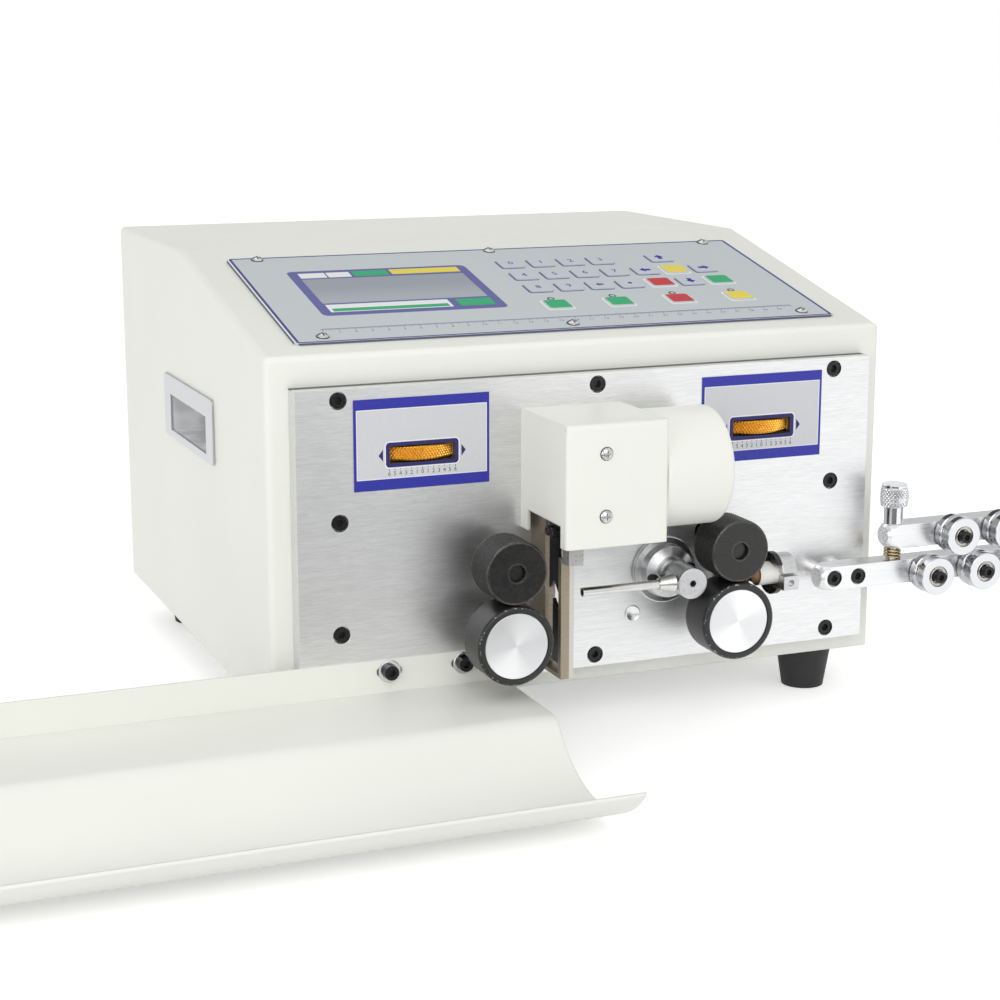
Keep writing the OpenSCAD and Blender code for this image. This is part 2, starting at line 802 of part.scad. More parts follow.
module upper_holder() {
    mid = (rack_x0 + rack_x1) / 2;
    face = wire_y - rack_root;
    color(steel) placed() {
        along_x(rack_x0, rack_x1) translate([wire_y - pinion_r, pinion_z])
            rack_2d(rack_front, upper_bar_z - pinion_z, bar_top - pinion_z, 0.5);
        box([mid - tongue_w / 2, face - rack_front - tongue_d + slide_gap, pinion_z - 18],
            [mid + tongue_w / 2, face - rack_front, bar_top]);
        box([blade_x + blade_t, face, upper_arm_z], [rack_x1, wire_y + blade_w / 2, upper_arm_z + arm_h]);
    }
    color(black) placed()
        for (y = [-1, 1]) rod_x(wire_y + y * 3.2, upper_arm_z + 3, blade_x - 3, blade_x, 2.75);
}

module blade_2d(len) {
    difference() {
        translate([-blade_w / 2, 0]) square([blade_w, len]);
        polygon([[-blade_w / 2 + 0.5, -0.01], [blade_w / 2 - 0.5, -0.01], [0, notch_d]]);
    }
}

module upper_blade() {
    tip = wire_z + blade_gap / 2;
    color(black) placed()
        along_x(blade_x, blade_x + blade_t) translate([wire_y, tip]) blade_2d(upper_arm_z + arm_h - 1 - tip);
}

// The lower blade's rack; below the guard it is narrow, clear of the wire
module lower_holder() {
    mid = (rack_x0 + rack_x1) / 2;
    face = wire_y + rack_root;
    color(brown_steel) placed() {
        difference() {
            along_x(rack_x0, rack_x1) translate([wire_y + pinion_r, pinion_z]) mirror([1, 0])
                rack_2d(rack_back, lower_bar_z - pinion_z, bar_top - pinion_z, 0.5);
            box([mid + tongue_w / 2, face - over, lower_bar_z + arm_h],
                [rack_x1 + over, face + rack_back + over, guard_z0 + 2]);
        }
        box([mid - tongue_w / 2, face + rack_back, lower_bar_z],
            [mid + tongue_w / 2, face + rack_back + tongue_d - slide_gap, bar_top]);
        box([blade_x + 2 * blade_t + blade_pass, wire_y - blade_w / 2, lower_bar_z],
            [rack_x1, face, lower_bar_z + arm_h]);
    }
}

module lower_blade() {
    tip = wire_z - blade_gap / 2;
    color(black) placed()
        along_x(blade_x + blade_t + blade_pass, blade_x + 2 * blade_t + blade_pass)
            translate([wire_y, tip]) mirror([0, 1]) blade_2d(tip - lower_bar_z - 1);
}

// Guide tube and inlet

flange_screw_at = 12.5;

module swing_flange() {
    color(alu) placed() difference() {
        union() {
            turned_y(swing_x, plate_y, wire_z) round_side(flange_r, flange_t, 0.8);
            turned_y(swing_x, plate_y - flange_t, wire_z)
                polygon([[0, 0], [dish_r, 0], [dish_r - 0.7, dish_h - 3], [dish_r - 6, dish_h], [0, dish_h]]);
        }
        rod_y(swing_x, wire_z, plate_y - 20, plate_y + over, swing_shaft_r + run_gap);
    }
    color(black) placed()
        for (a = [12, 192])
            rod_y(swing_x + flange_screw_at * cos(a), wire_z + flange_screw_at * sin(a),
                plate_y - flange_t - dish_h, plate_y - flange_t - dish_h + 3, 2.75);
}

boss_back = plate_y - flange_t - dish_h - slide_gap;

module swing_boss() {
    color(alu) placed() difference() {
        union() {
            rod_y(swing_x, wire_z, boss_back - over, 4, swing_shaft_r);
            rod_y(swing_x, wire_z, 1, 4, swing_shaft_r + 2);
            rod_y(swing_x, wire_z, wire_y + 12, boss_back, boss_r - 1);
            turned_y(swing_x, wire_y + 12, wire_z) round_side(boss_r, wire_y + 12 - boss_front, 0.6);
        }
        rod_x(wire_y, wire_z, swing_x - boss_r - over, swing_x + boss_r + over, tube_r + 0.02);
        translate([swing_x + boss_r - 4, wire_y, wire_z]) rotate([0, 90, 0])
            cylinder(r1 = tube_bore_r, r2 = 6, h = 5);
        translate([swing_x, boss_front + 4, wire_z]) rotate([90, 0, 0]) cylinder(r = 2.2, h = 5, $fn = 6);
    }
}

collar_at = 19.5;
collar_r1 = 5.5;

module guide_tube() {
    tip = swing_x - tube_len;
    color(chrome) placed() difference() {
        union() {
            rod_x(wire_y, wire_z, tip, swing_x - boss_r + 8, tube_r);
            translate([swing_x - collar_at, wire_y, wire_z]) rotate([0, 90, 0])
                cylinder(r1 = tube_r + 0.8, r2 = collar_r1, h = collar_at - boss_r - run_gap);
        }
        rod_x(wire_y, wire_z, tip - over, swing_x + boss_r, tube_bore_r);
    }
}

bracket_t = 3.5;
bracket_r = 13;

// A fork, open to the front, that the bush lies in
module inlet_bracket() {
    color(black) placed() difference() {
        union() {
            rod_x(wire_y, wire_z, inlet_x, inlet_x + bracket_t, bracket_r);
            box([inlet_x, wire_y, wire_z - 9], [inlet_x + bracket_t, plate_y, wire_z + 9]);
            box([inlet_x - 17, plate_y - 4, wire_z - 23], [inlet_x + bracket_t, plate_y, wire_z + 23]);
        }
        rod_x(wire_y, wire_z, inlet_x - over, inlet_x + bracket_t + over, bush_r + 0.02);
        box([inlet_x - over, wire_y - bracket_r - over, wire_z - bush_r - 0.02],
            [inlet_x + bracket_t + over, wire_y, wire_z + bush_r + 0.02]);
    }
    color(black) placed()
        for (z = [-1, 1]) rod_y(inlet_x - 10, wire_z + z * 18, plate_y - 8, plate_y - 4, 3.5);
}

collar_r = 11.7;
collar_len = 10;
collar_ear = 1.5;
collar_drop = 8.5;
collar_slit = 1.6;
bush_x0 = inlet_x - 9;
bush_tip = 4;
collar_x0 = inlet_x + bracket_t;
collar_x1 = collar_x0 + collar_len;
bush_x1 = collar_x1 + 2;

module inlet_bush() {
    color([0.93, 0.91, 0.85]) placed() difference() {
        union() {
            rod_x(wire_y, wire_z, bush_x0, bush_x1, bush_r);
            translate([bush_x0 - bush_tip, wire_y, wire_z]) rotate([0, 90, 0])
                cylinder(r1 = bush_bore_r + 1, r2 = bush_r - 1.5, h = bush_tip);
        }
        rod_x(wire_y, wire_z, bush_x0 - bush_tip - over, bush_x1 + over, bush_bore_r);
    }
}

// A split collar that clamps the bush; the screw goes into the ear below the slit
module inlet_collar() {
    ear_y = wire_y - collar_r - collar_ear;
    color(alu) placed() difference() {
        union() {
            turned_x(collar_x0, wire_y, wire_z) round_side(collar_r, collar_len, 0.6);
            box([collar_x0, ear_y, wire_z - collar_drop], [collar_x1, wire_y - bush_r - over, wire_z]);
        }
        rod_x(wire_y, wire_z, inlet_x, collar_x1 + over, bush_r + 0.02);
        box([inlet_x, ear_y - over, wire_z],
            [collar_x1 + over, wire_y - bush_r + over, wire_z + collar_slit]);
        rod_y(collar_x0 + collar_len / 2, wire_z - collar_drop / 2, ear_y - over, ear_y + 3, 2);
    }
}

// Wire straightener

// A square bar along X, its left end turned down to a round
module square_bar(x0, x1, z) {
    mid_y = bar_y + bar_side / 2;
    intersection() {
        box([x0, bar_y, z - bar_side / 2], [x1, bar_y + bar_side, z + bar_side / 2]);
        translate([x0, mid_y, z]) rotate([0, 90, 0]) rotate_extrude()
            polygon([[0, 0], [bar_side * 0.4, 0], [bar_side * 0.52, 2], [bar_side * 0.71, 8.5],
                [bar_side, 8.5], [bar_side, x1 - x0], [0, x1 - x0]]);
    }
}

module straightener_posts() {
    color(steel) placed()
        for (x = post_x)
            difference() {
                rod_y(x, post_z, bar_y + bar_side, plate_y, 5.5);
                rod_y(x, post_z, bar_y + bar_side - over, plate_y + over, shank_r + 0.2);
            }
}

function lower_x(i) = first_roller_x + i * guide_pitch;
function upper_x(i) = first_roller_x + (i + 0.5) * guide_pitch;
lower_roller_z = wire_z - guide_r;
upper_roller_z = wire_z + guide_r;

module axle_hole(x, z) { rod_y(x, z, bar_y - over, bar_y + 10, axle_r - 1); }

module lower_bar() {
    color(alu) placed() {
        difference() {
            square_bar(bar_x0, bar_x1, post_z);
            for (x = post_x) {
                rod_y(x, post_z, bar_y - over, bar_y + head_h + 0.6, sink_r);
                rod_y(x, post_z, bar_y, bar_y + bar_side + over, shank_r + 0.2);
            }
            for (i = [0 : 2]) axle_hole(lower_x(i), lower_roller_z);
            rod_z(knob_x, bar_y + bar_side / 2, lower_bar_top - 12, lower_bar_top + over,
                knob_screw_r + slide_gap);
        }
        rod_z(pin_x, bar_y + bar_side / 2, lower_bar_top, upper_bar_bottom + bar_side + 8, knob_screw_r);
    }
}

axle_head_h = 2.8;

module axle(x, z) {
    front = bar_y - guide_len - 2 * axle_gap;
    difference() {
        union() {
            rod_y(x, z, front, bar_y, axle_r);
            rod_y(x, z, front - axle_head_h, front + 0.3, axle_head_r);
            rod_y(x, z, bar_y, bar_y + 10, axle_r - 1.02);
        }
        translate([x, front - 0.6, z]) rotate([90, 0, 0]) cylinder(r = 2, h = 5, $fn = 6);
    }
}

module lower_axles() { color(black) placed() for (i = [0 : 2]) axle(lower_x(i), lower_roller_z); }

module upper_axles() { color(black) placed() for (i = [0 : 1]) axle(upper_x(i), upper_roller_z); }

module upper_bar() {
    color(alu) placed() difference() {
        square_bar(knob_x - 7.5, bar_x1, upper_bar_mid);
        for (i = [0 : 1]) axle_hole(upper_x(i), upper_roller_z);
        for (x = [knob_x, pin_x])
            rod_z(x, bar_y + bar_side / 2, upper_bar_bottom - over, upper_bar_bottom + bar_side + over,
                knob_screw_r + run_gap);
    }
}

groove_rise = 1;

// A grooved roller on its axle, open at the front round the axle's head
module guide_roller(x, z) {
    color(chrome) placed() difference() {
        translate([x, bar_y - axle_gap, z]) rotate([90, 0, 0]) rotate_extrude() difference() {
            round_side(guide_r, guide_len, 0.8);
            translate([guide_r + groove_rise, guide_len / 2]) circle(groove_d + groove_rise);
        }
        rod_y(x, z, bar_y - guide_len - 5, bar_y + over, axle_r + run_gap);
        rod_y(x, z, bar_y - guide_len - 5, bar_y - guide_len - axle_gap + 1.2, bearing_r);
    }
}

knob_head_r = 8.2;
knob_neck_r = 6.1;
knob_neck_h = 10.6;
knob_h = 25.3;
knob_rim_h = 2;

module straightener_knob() {
    top = upper_bar_bottom + bar_side;
    color(chrome) placed() {
        rod_z(knob_x, bar_y + bar_side / 2, lower_bar_top - 5, top + 1, knob_screw_r);
        translate([knob_x, bar_y + bar_side / 2, top]) rotate_extrude()
            polygon([[0, run_gap], [knob_neck_r, run_gap], [knob_neck_r, knob_neck_h],
                [knob_head_r - 1, knob_neck_h + 0.6], [knob_head_r, knob_neck_h + 4],
                [knob_head_r, knob_neck_h + 6], [knob_head_r - 0.6, knob_h - knob_rim_h - 0.8],
                [knob_head_r - 0.3, knob_h - knob_rim_h], [knob_head_r - 0.3, knob_h - 0.6],
                [knob_head_r - 0.8, knob_h], [0, knob_h]]);
    }
}

// Outlet tray

module ring_part(y, z, r0, r1, a0, a1) {
    far = 3 * r1;
    mid = (a0 + a1) / 2;
    translate([y, z]) intersection() {
        difference() {
            circle(r1, $fn = 96);
            circle(r0, $fn = 96);
        }
        polygon([[0, 0], far * [cos(a0), sin(a0)], far * [cos(mid), sin(mid)], far * [cos(a1), sin(a1)]]);
    }
}

join_a = acos((trough_z - shelf_z + tray_bend_r) / (trough_r + tray_bend_r));
bend_y = trough_y + (trough_r + tray_bend_r) * sin(join_a);

module tray_profile() {
    translate([plate_y - tray_t, shelf_z + tray_t]) square([tray_t, flange_top - shelf_z - tray_t]);
    translate([bend_y, shelf_z]) square([plate_y - bend_y, tray_t]);
    ring_part(bend_y, shelf_z - tray_bend_r, tray_bend_r, tray_bend_r + tray_t, 90, 90 + join_a);
    intersection() {
        ring_part(trough_y, trough_z, trough_r - tray_t, trough_r, 195, 270 + join_a);
        translate([-tray_front, -body_h]) square([tray_front, 2 * body_h]);
    }
}

module outlet_tray() {
    color(cream) placed() difference() {
        along_x(tray_x0, tray_x1) tray_profile();
        for (x = tray_screw_x) {
            for (d = [-5, 5])
                rod_y(x + d, tray_screw_z, plate_y - tray_t - over, plate_y + over, shank_r + 0.3);
            box([x - 5, plate_y - tray_t - over, tray_screw_z - shank_r - 0.3],
                [x + 5, plate_y + over, tray_screw_z + shank_r + 0.3]);
        }
    }
}

// Electrics inside and at the back

// The board stands on four pillars beside the power supply, both set from the rear corners
board_w = 160;
board_d = 120;
board_t = 1.6;
board_z = 14;
board_x1 = body_w / 2 - 50;
board_y1 = body_d - 48;
pillar_in = 10;
can_r = 8;
can_h = 24;
supply_w = 110;
supply_d = 160;
supply_h = 50;
supply_x0 = -body_w / 2 + 35;
supply_y1 = body_d - 38;

module control_board() {
    top = board_z + board_t;
    color([0.1, 0.35, 0.2]) placed() {
        box([board_x1 - board_w, board_y1 - board_d, board_z], [board_x1, board_y1, top]);
        for (x = [pillar_in, board_w - pillar_in], y = [pillar_in, board_d - pillar_in])
            rod_z(board_x1 - x, board_y1 - y, sheet_t, board_z, 3);
        box([board_x1 - 140, board_y1 - 100, top], [board_x1 - 100, board_y1 - 70, top + can_h]);
        box([board_x1 - 80, board_y1 - 105, top], [board_x1 - 20, board_y1 - 75, top + can_r]);
        for (i = [0 : 3]) rod_z(board_x1 - 130 + 3 * i * can_r, board_y1 - 35, top, top + can_h, can_r);
    }
}

module power_supply() {
    color(steel) placed()
        box([supply_x0, supply_y1 - supply_d, sheet_t],
            [supply_x0 + supply_w, supply_y1, sheet_t + supply_h]);
}

inlet_w = 50;
inlet_h = 62;
inlet_hole_w = 44;
inlet_hole_h = 54;
socket_w = 25;
socket_h = 17;
socket_z = inlet_z - 13;
rocker_z = inlet_z + 16;
rocker_w = 18;
rocker_h = 22;

module power_inlet() {
    color(black) placed() difference() {
        union() {
            along_y(body_d, body_d + inlet_proud) translate([inlet_mid, inlet_z])
                rounded_rect(inlet_w, inlet_h, 3);
            along_y(body_d - 24, body_d) translate([inlet_mid, inlet_z])
                square([inlet_hole_w - 0.6, inlet_hole_h - 0.6], center = true);
        }
        along_y(body_d - 14, body_d + inlet_proud + over) translate([inlet_mid, socket_z])
            rounded_rect(socket_w, socket_h, 3);
        box([inlet_mid - rocker_w / 2, body_d - 14, rocker_z - rocker_h / 2],
            [inlet_mid + rocker_w / 2, body_d + inlet_proud + over, rocker_z + rocker_h / 2]);
    }
    color(chrome) placed()
        for (x = [-7, 0, 7])
            box([inlet_mid + x - 1, body_d - 14, socket_z - 2], [inlet_mid + x + 1, body_d - 6, socket_z + 2]);
}

rocker_pivot_y = body_d - 6;

module power_rocker() {
    color([0.7, 0.1, 0.1]) placed()
        along_x(inlet_mid - rocker_w / 2 + slide_gap, inlet_mid + rocker_w / 2 - slide_gap)
            intersection() {
                translate([rocker_pivot_y, rocker_z]) circle(10.4);
                translate([rocker_pivot_y - 6, rocker_z - rocker_h / 2]) square([15.5, rocker_h]);
            }
}

housing_cover();
base_pan();
rear_panel();
rubber_feet();
front_plate();
socket_screws();
scale_plates();
console_panel();
display_window();
cross_screws();
carry_handles();
cutter_guard();
motor_cover();
blade_motor();
blade_rails();
blade_guide();
swing_flange();
inlet_bracket();
inlet_bush();
inlet_collar();
straightener_posts();
lower_bar();
lower_axles();
outlet_tray();
bearing_frame();
wheel_brackets();
feed_motors();
control_board();
power_supply();
power_inlet();
power_rocker();
drive_tyre(-1);  // left_drive_tyre
drive_cap(-1);  // left_drive_cap
drive_shaft(-1);  // left_drive_shaft
pressure_roller(-1);  // left_pressure_roller
pressure_shaft(-1);  // left_pressure_shaft
carriage(-1);  // left_carriage
gap_wheel(-1);  // left_gap_wheel
drive_tyre(1);  // right_drive_tyre
drive_cap(1);  // right_drive_cap
drive_shaft(1);  // right_drive_shaft
pressure_roller(1);  // right_pressure_roller
pressure_shaft(1);  // right_pressure_shaft
carriage(1);  // right_carriage
gap_wheel(1);  // right_gap_wheel
blade_pinion();
upper_holder();
upper_blade();
lower_holder();
lower_blade();
swing_boss();
guide_tube();
upper_bar();
upper_axles();
straightener_knob();
guide_roller(lower_x(0), lower_roller_z);  // guide_roller_1
guide_roller(lower_x(1), lower_roller_z);  // guide_roller_2
guide_roller(lower_x(2), lower_roller_z);  // guide_roller_3
guide_roller(upper_x(0), upper_roller_z);  // guide_roller_4
guide_roller(upper_x(1), upper_roller_z);  // guide_roller_5
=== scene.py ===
# %% [markdown]
# # A bench machine that measures, cuts and strips wire
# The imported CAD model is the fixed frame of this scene: a cream sheet housing, a brushed front plate
# with feed rollers and a cutter, a console on the slope, a wire straightener and an outlet tray.
# This lesson gives every CAD part its finish and adds what a CAD model has no use for: the print on
# the console and the scales, the knurling, a spring, small screws, rims, washers and bearing shields.

# %% Load the frame
import math

import bmesh
import bpy
from mathutils import Matrix, Vector


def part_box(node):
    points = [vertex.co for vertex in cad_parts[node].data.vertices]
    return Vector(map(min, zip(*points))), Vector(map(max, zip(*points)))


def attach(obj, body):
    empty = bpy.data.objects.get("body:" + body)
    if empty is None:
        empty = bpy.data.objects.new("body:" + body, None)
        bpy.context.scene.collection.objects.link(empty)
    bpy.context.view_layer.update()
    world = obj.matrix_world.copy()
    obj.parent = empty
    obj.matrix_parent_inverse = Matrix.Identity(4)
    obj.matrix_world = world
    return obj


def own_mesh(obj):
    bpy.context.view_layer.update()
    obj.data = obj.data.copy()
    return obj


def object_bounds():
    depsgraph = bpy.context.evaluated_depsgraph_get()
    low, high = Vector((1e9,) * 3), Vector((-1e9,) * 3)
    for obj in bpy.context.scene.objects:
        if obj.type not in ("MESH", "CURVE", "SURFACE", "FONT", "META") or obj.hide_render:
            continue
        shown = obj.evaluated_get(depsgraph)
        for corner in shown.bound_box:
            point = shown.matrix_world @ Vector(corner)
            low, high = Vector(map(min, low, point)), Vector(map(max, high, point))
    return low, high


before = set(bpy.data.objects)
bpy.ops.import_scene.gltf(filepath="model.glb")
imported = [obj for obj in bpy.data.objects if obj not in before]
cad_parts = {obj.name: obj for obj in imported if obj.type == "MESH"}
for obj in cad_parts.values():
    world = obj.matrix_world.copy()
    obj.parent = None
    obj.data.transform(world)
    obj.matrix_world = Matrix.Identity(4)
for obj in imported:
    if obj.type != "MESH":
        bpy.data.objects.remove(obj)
cad_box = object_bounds()
print("CAD box", [round(v, 4) for corner in cad_box for v in corner])

# %% [markdown]
# ## Where things are
# The source of the CAD model counts in millimetres from the middle of the housing's front face, at the
# height of its underside. Two CAD boxes give that point here, so every piece below can be placed with
# the same numbers that a maker would read from the drawing.

# %% From drawing millimetres to the machine
MM = 0.001
plate_low, plate_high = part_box("front_plate")
pan_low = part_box("base_pan")[0]
datum = Vector(((plate_low.x + plate_high.x) / 2, plate_high.y, pan_low.z))
PLATE_Y = (plate_low.y - plate_high.y) / MM
FRONT_H, SLOPE_RISE, SLOPE_RUN = 209.5, 44.5, 194
SLOPE = math.atan2(SLOPE_RISE, SLOPE_RUN)


def at(x, y, z):
    """A point of the drawing, in metres."""
    return datum + Vector((x, y, z)) * MM


def slope(x, s, h):
    """A point on the sloped console: x along it, s up the slope, h above the sheet."""
    c, d = math.cos(SLOPE), math.sin(SLOPE)
    return at(x, s * c - h * d, FRONT_H + s * d + h * c)


print("datum", [round(v, 4) for v in datum], "plate face at", round(PLATE_Y, 2))

# %% [markdown]
# ## Camera
# The camera stands to the left of the machine, a little above it. Its place was found by matching
# corners of the CAD model with the same corners in the photograph, so it has no shift and no roll.

# %% Camera
CAMERA_SPOT, LOOK_DOWN, LOOK_RIGHT = (-513.06, -1124.16, 381.23), 0.2142, 0.3851
LENS, SENSOR = 75.485, 36
camera = bpy.data.objects.new("camera", bpy.data.cameras.new("camera"))
camera.location = at(*CAMERA_SPOT)
camera.rotation_euler = (math.pi / 2 - LOOK_DOWN, 0, -LOOK_RIGHT)
camera.data.lens, camera.data.sensor_width = LENS, SENSOR
bpy.context.collection.objects.link(camera)
bpy.context.scene.camera = camera
print("camera at", [round(v, 3) for v in camera.location])

# %% [markdown]
# ## A small language for nodes
# Materials and Geometry Nodes are both nets of nodes. `Wire` stands for one socket of a net, and plain
# Python arithmetic on wires adds Math nodes. `Net.node` adds any other node: first its settings, then
# the values or wires of its inputs. With these two, a finish reads like a formula.

# %% Wires and nets
class Wire:
    """One output socket. Arithmetic on wires adds Math nodes to their net."""

    def __init__(self, net, socket):
        self.net, self.socket = net, socket

    def maths(self, operation, a, b=0.0):
        return self.net.node("ShaderNodeMath", {"operation": operation}, {0: a, 1: b})

    def __add__(self, other):
        return self.maths("ADD", self, other)

    def __sub__(self, other):
        return self.maths("SUBTRACT", self, other)

    def __rsub__(self, other):
        return self.maths("SUBTRACT", other, self)

    def __mul__(self, other):
        return self.maths("MULTIPLY", self, other)

    def __truediv__(self, other):
        return self.maths("DIVIDE", self, other)

    def __mod__(self, other):
        return self.maths("FLOORED_MODULO", self, other)

    def __lt__(self, other):
        return self.maths("LESS_THAN", self, other)

    def __gt__(self, other):
        return self.maths("GREATER_THAN", self, other)

    __radd__, __rmul__ = __add__, __mul__

    def floor(self):
        return self.maths("FLOOR", self)

    def sine(self):
        return self.maths("SINE", self)

    def cosine(self):
        return self.maths("COSINE", self)

    def angle(self, other):
        return self.maths("ARCTAN2", self, other)

    def size(self):
        return self.maths("ABSOLUTE", self)


class Net:
    """A node tree and the one way to add nodes to it."""

    def __init__(self, tree):
        self.tree = tree

    def node(self, kind, settings=None, inputs=None, out=0):
        made = self.tree.nodes.new(kind)
        for name, value in (settings or {}).items():
            if name == "stops":
                self.ramp(made.color_ramp, value)
            else:
                setattr(made, name, value)
        for name, value in (inputs or {}).items():
            self.put(made.inputs[name], value)
        return Wire(self, made.outputs[out])

    def seen_directly(self):
        """1 for what the camera sees, also in a reflection or through glass, and 0 for plain light."""
        path = self.tree.nodes.new("ShaderNodeLightPath")
        rays = [Wire(self, path.outputs[f"Is {kind} Ray"]) for kind in ("Camera", "Glossy", "Transmission")]
        return rays[0] + rays[1] + rays[2] > 0.5

    def ramp(self, ramp, stops):
        while len(ramp.elements) < len(stops):
            ramp.elements.new(1)
        for element, (place, value) in zip(ramp.elements, stops):
            element.position, element.color = place, (*[value] * 3, 1)

    def put(self, socket, value):
        if isinstance(value, Wire):
            self.tree.links.new(value.socket, socket)
        else:
            socket.default_value = value


print("node language ready")

# %% [markdown]
# ## Finishes
# `Finish` is a material with a Principled shader. It reads Object coordinates, which are the machine's
# own metres, so a pattern keeps its real size on every part. A Bevel node rounds the light over sharp
# CAD edges, as the real parts have their edges broken, and a Bump node adds the grain on top of it.

# %% The Finish class
class Finish(Net):
    """A Principled material whose colour, gloss and grain come from nodes."""

    made = {}

    def __init__(self, name, **sockets):
        self.material = bpy.data.materials.new(name)
        self.material.use_nodes = True
        super().__init__(self.material.node_tree)
        self.shader = self.tree.nodes["Principled BSDF"]
        self.set(**sockets)
        Finish.made[name] = self.material

    def set(self, **sockets):
        for name, value in sockets.items():
            if isinstance(value, tuple) and len(value) == 3:
                value = (*value, 1)
            self.put(self.shader.inputs[name.replace("_", " ")], value)

    def place(self, scale=(1, 1, 1), shift=(0, 0, 0)):
        point = self.node("ShaderNodeTexCoord", out="Object")
        return self.node("ShaderNodeMapping", {}, {"Vector": point, "Location": shift, "Scale": scale})

    def noise(self, scale=(1, 1, 1), size=1.0, detail=2.0, roughness=0.5):
        settings = {"noise_dimensions": "3D"}
        inputs = {"Vector": self.place(scale), "Scale": size, "Detail": detail, "Roughness": roughness}
        return self.node("ShaderNodeTexNoise", settings, inputs)

    def ramp_of(self, value, *stops):
        return self.node("ShaderNodeValToRGB", {"stops": stops}, {"Fac": value})

    def mix(self, share, a, b):
        a, b = [(*c, 1) if isinstance(c, tuple) and len(c) == 3 else c for c in (a, b)]
        return self.node("ShaderNodeMix", {"data_type": "RGBA"}, {0: share, 6: a, 7: b}, out=2)

    def part(self, point, axis):
        return self.node("ShaderNodeSeparateXYZ", {}, {"Vector": point}, out=axis)

    def along(self, axis, start=0.0):
        """The place along X, Y or Z (axis 0, 1 or 2) in metres, counted from a start."""
        shift = [0.0, 0.0, 0.0]
        shift[axis] = -start
        return self.part(self.place((1, 1, 1), shift), axis)

    def from_axis(self, x, z):
        """The distance from an axis along Y, and the offsets in X and Z, at a place of the drawing."""
        centre = -at(x, 0, z)
        point = self.place((1, 0, 1), (centre.x, 0, centre.z))
        radius = self.node("ShaderNodeVectorMath", {"operation": "LENGTH"}, {0: point}, out="Value")
        return radius, self.part(point, 0), self.part(point, 2)

    def grain(self, height, depth, edge=0.0):
        """A bump of that depth in metres, over edges rounded to a radius of edge metres."""
        inputs = {"Height": height, "Distance": depth, "Strength": 1.0}
        if edge:
            inputs["Normal"] = self.node("ShaderNodeBevel", {"samples": 6}, {"Radius": edge})
        self.set(Normal=self.node("ShaderNodeBump", {}, inputs))


def shade(colour, share):
    """A colour made lighter or darker."""
    return tuple(min(1.0, c * share) for c in colour)


print("finish class ready")

# %% [markdown]
# ### Powder coat
# The housing, the cutter guard, the motor cover and the tray are painted cream. Powder coat is slightly
# wavy, like the skin of an orange, at about a millimetre. It is a little greyer where hands and chips
# rub it, so a slow noise moves the colour by two or three hundredths.

# %% Cream paint
def powder_coat(name, colour):
    f = Finish(name, IOR=1.48)
    peel = f.noise(size=900, detail=2)
    cloud = f.ramp_of(f.noise(size=9, detail=4), (0.35, 0), (0.7, 1))
    f.set(Base_Color=f.mix(cloud, shade(colour, 0.975), colour), Roughness=0.34 + 0.12 * peel)
    f.grain(peel, 0.00005, 0.0012)
    return f.material


cream = powder_coat("cream_powder_coat", (0.86, 0.866, 0.805))
print("made", cream.name)

# %% [markdown]
# ### Brushed, satin and spun aluminium
# A brush drawn along the plate leaves scratches that are long in X and very short in Z. So the noise is
# squeezed: few cycles per metre along X, over a thousand along Z. Coarse and fine scratches are added.
# A turned face has its scratches in rings, so there the noise reads the distance from the axis, and two
# opposite wedges of it get a painted highlight. The plate's top edge lies in shade beside the cover, so
# it gets a painted shadow.

# %% Aluminium
def brushed(name, light, dark, along=(9, 500, 1500), rough=0.3, seam=None):
    """Brushing along X. Above and behind the point `seam`, the edge gets a painted shadow."""
    f = Finish(name, Metallic=1.0)
    fine = f.noise(along, 1, 4, 0.7)
    coarse = f.noise(tuple(v * 0.22 for v in along), 1, 3, 0.6)
    streak = f.ramp_of(0.8 * fine + 0.2 * coarse, (0.3, 0), (0.7, 1))
    colour = f.mix(streak, dark, light)
    if seam:
        # Painted shadow on the edge that lies in shade beside the cover.
        shade_line = (f.along(1) > seam.y) * (f.along(2) > seam.z)
        colour = f.mix(shade_line, colour, (0.07, 0.07, 0.07))
    f.set(Base_Color=colour, Roughness=rough + 0.16 * fine)
    f.grain(streak, 0.000012, 0.0004)
    return f.material


def spun(name, x, z, light, dark):
    """A face turned about an axis along Y, at a place in the drawing, with a painted highlight in two opposite
    wedges.
    """
    f = Finish(name, Metallic=1.0)
    radius, right, up = f.from_axis(x, z)
    settings = {"noise_dimensions": "1D"}
    rings = f.node("ShaderNodeTexNoise", settings, {"W": radius * 2600, "Scale": 1.0, "Detail": 3.0})
    # Painted highlight: two opposite wedges of the face are made lighter by their angle round the axis.
    painted_highlight_fan = (2 * up.angle(right) - 2.3).cosine() * 0.5 + 0.5
    tone = 0.78 * f.ramp_of(painted_highlight_fan, (0.25, 0), (0.95, 1)) + 0.22 * rings
    f.set(Base_Color=f.mix(tone, dark, light), Roughness=0.26 + 0.08 * rings)
    f.grain(rings, 0.000006, 0.0003)
    return f.material


SIDES = ((-1, "left"), (1, "right"))
ROLLER_X, DRIVE_Z = 71.5, 45
SEAM_D, SEAM_H = 6, 0.6
plate_seam = Vector((0, plate_high.y - SEAM_D * MM, plate_high.z - SEAM_H * MM))
plate_alu = brushed("plate_brushed_aluminium", (0.88, 0.885, 0.89), (0.67, 0.675, 0.68),
                    (110, 500, 2400), seam=plate_seam)
bar_alu = brushed("bar_satin_aluminium", (0.83, 0.835, 0.84), (0.72, 0.725, 0.73), (12, 700, 700), 0.20)
turned_alu = brushed("turned_satin_aluminium", (0.66, 0.665, 0.67), (0.48, 0.485, 0.49),
                     (300, 900, 300), 0.22)
cap_finish = {side: spun(f"{name}_spun_cap", side * ROLLER_X, DRIVE_Z,
                         (0.93, 0.935, 0.94), (0.70, 0.705, 0.715)) for side, name in SIDES}
print("made", plate_alu.name, bar_alu.name, turned_alu.name, [m.name for m in cap_finish.values()])

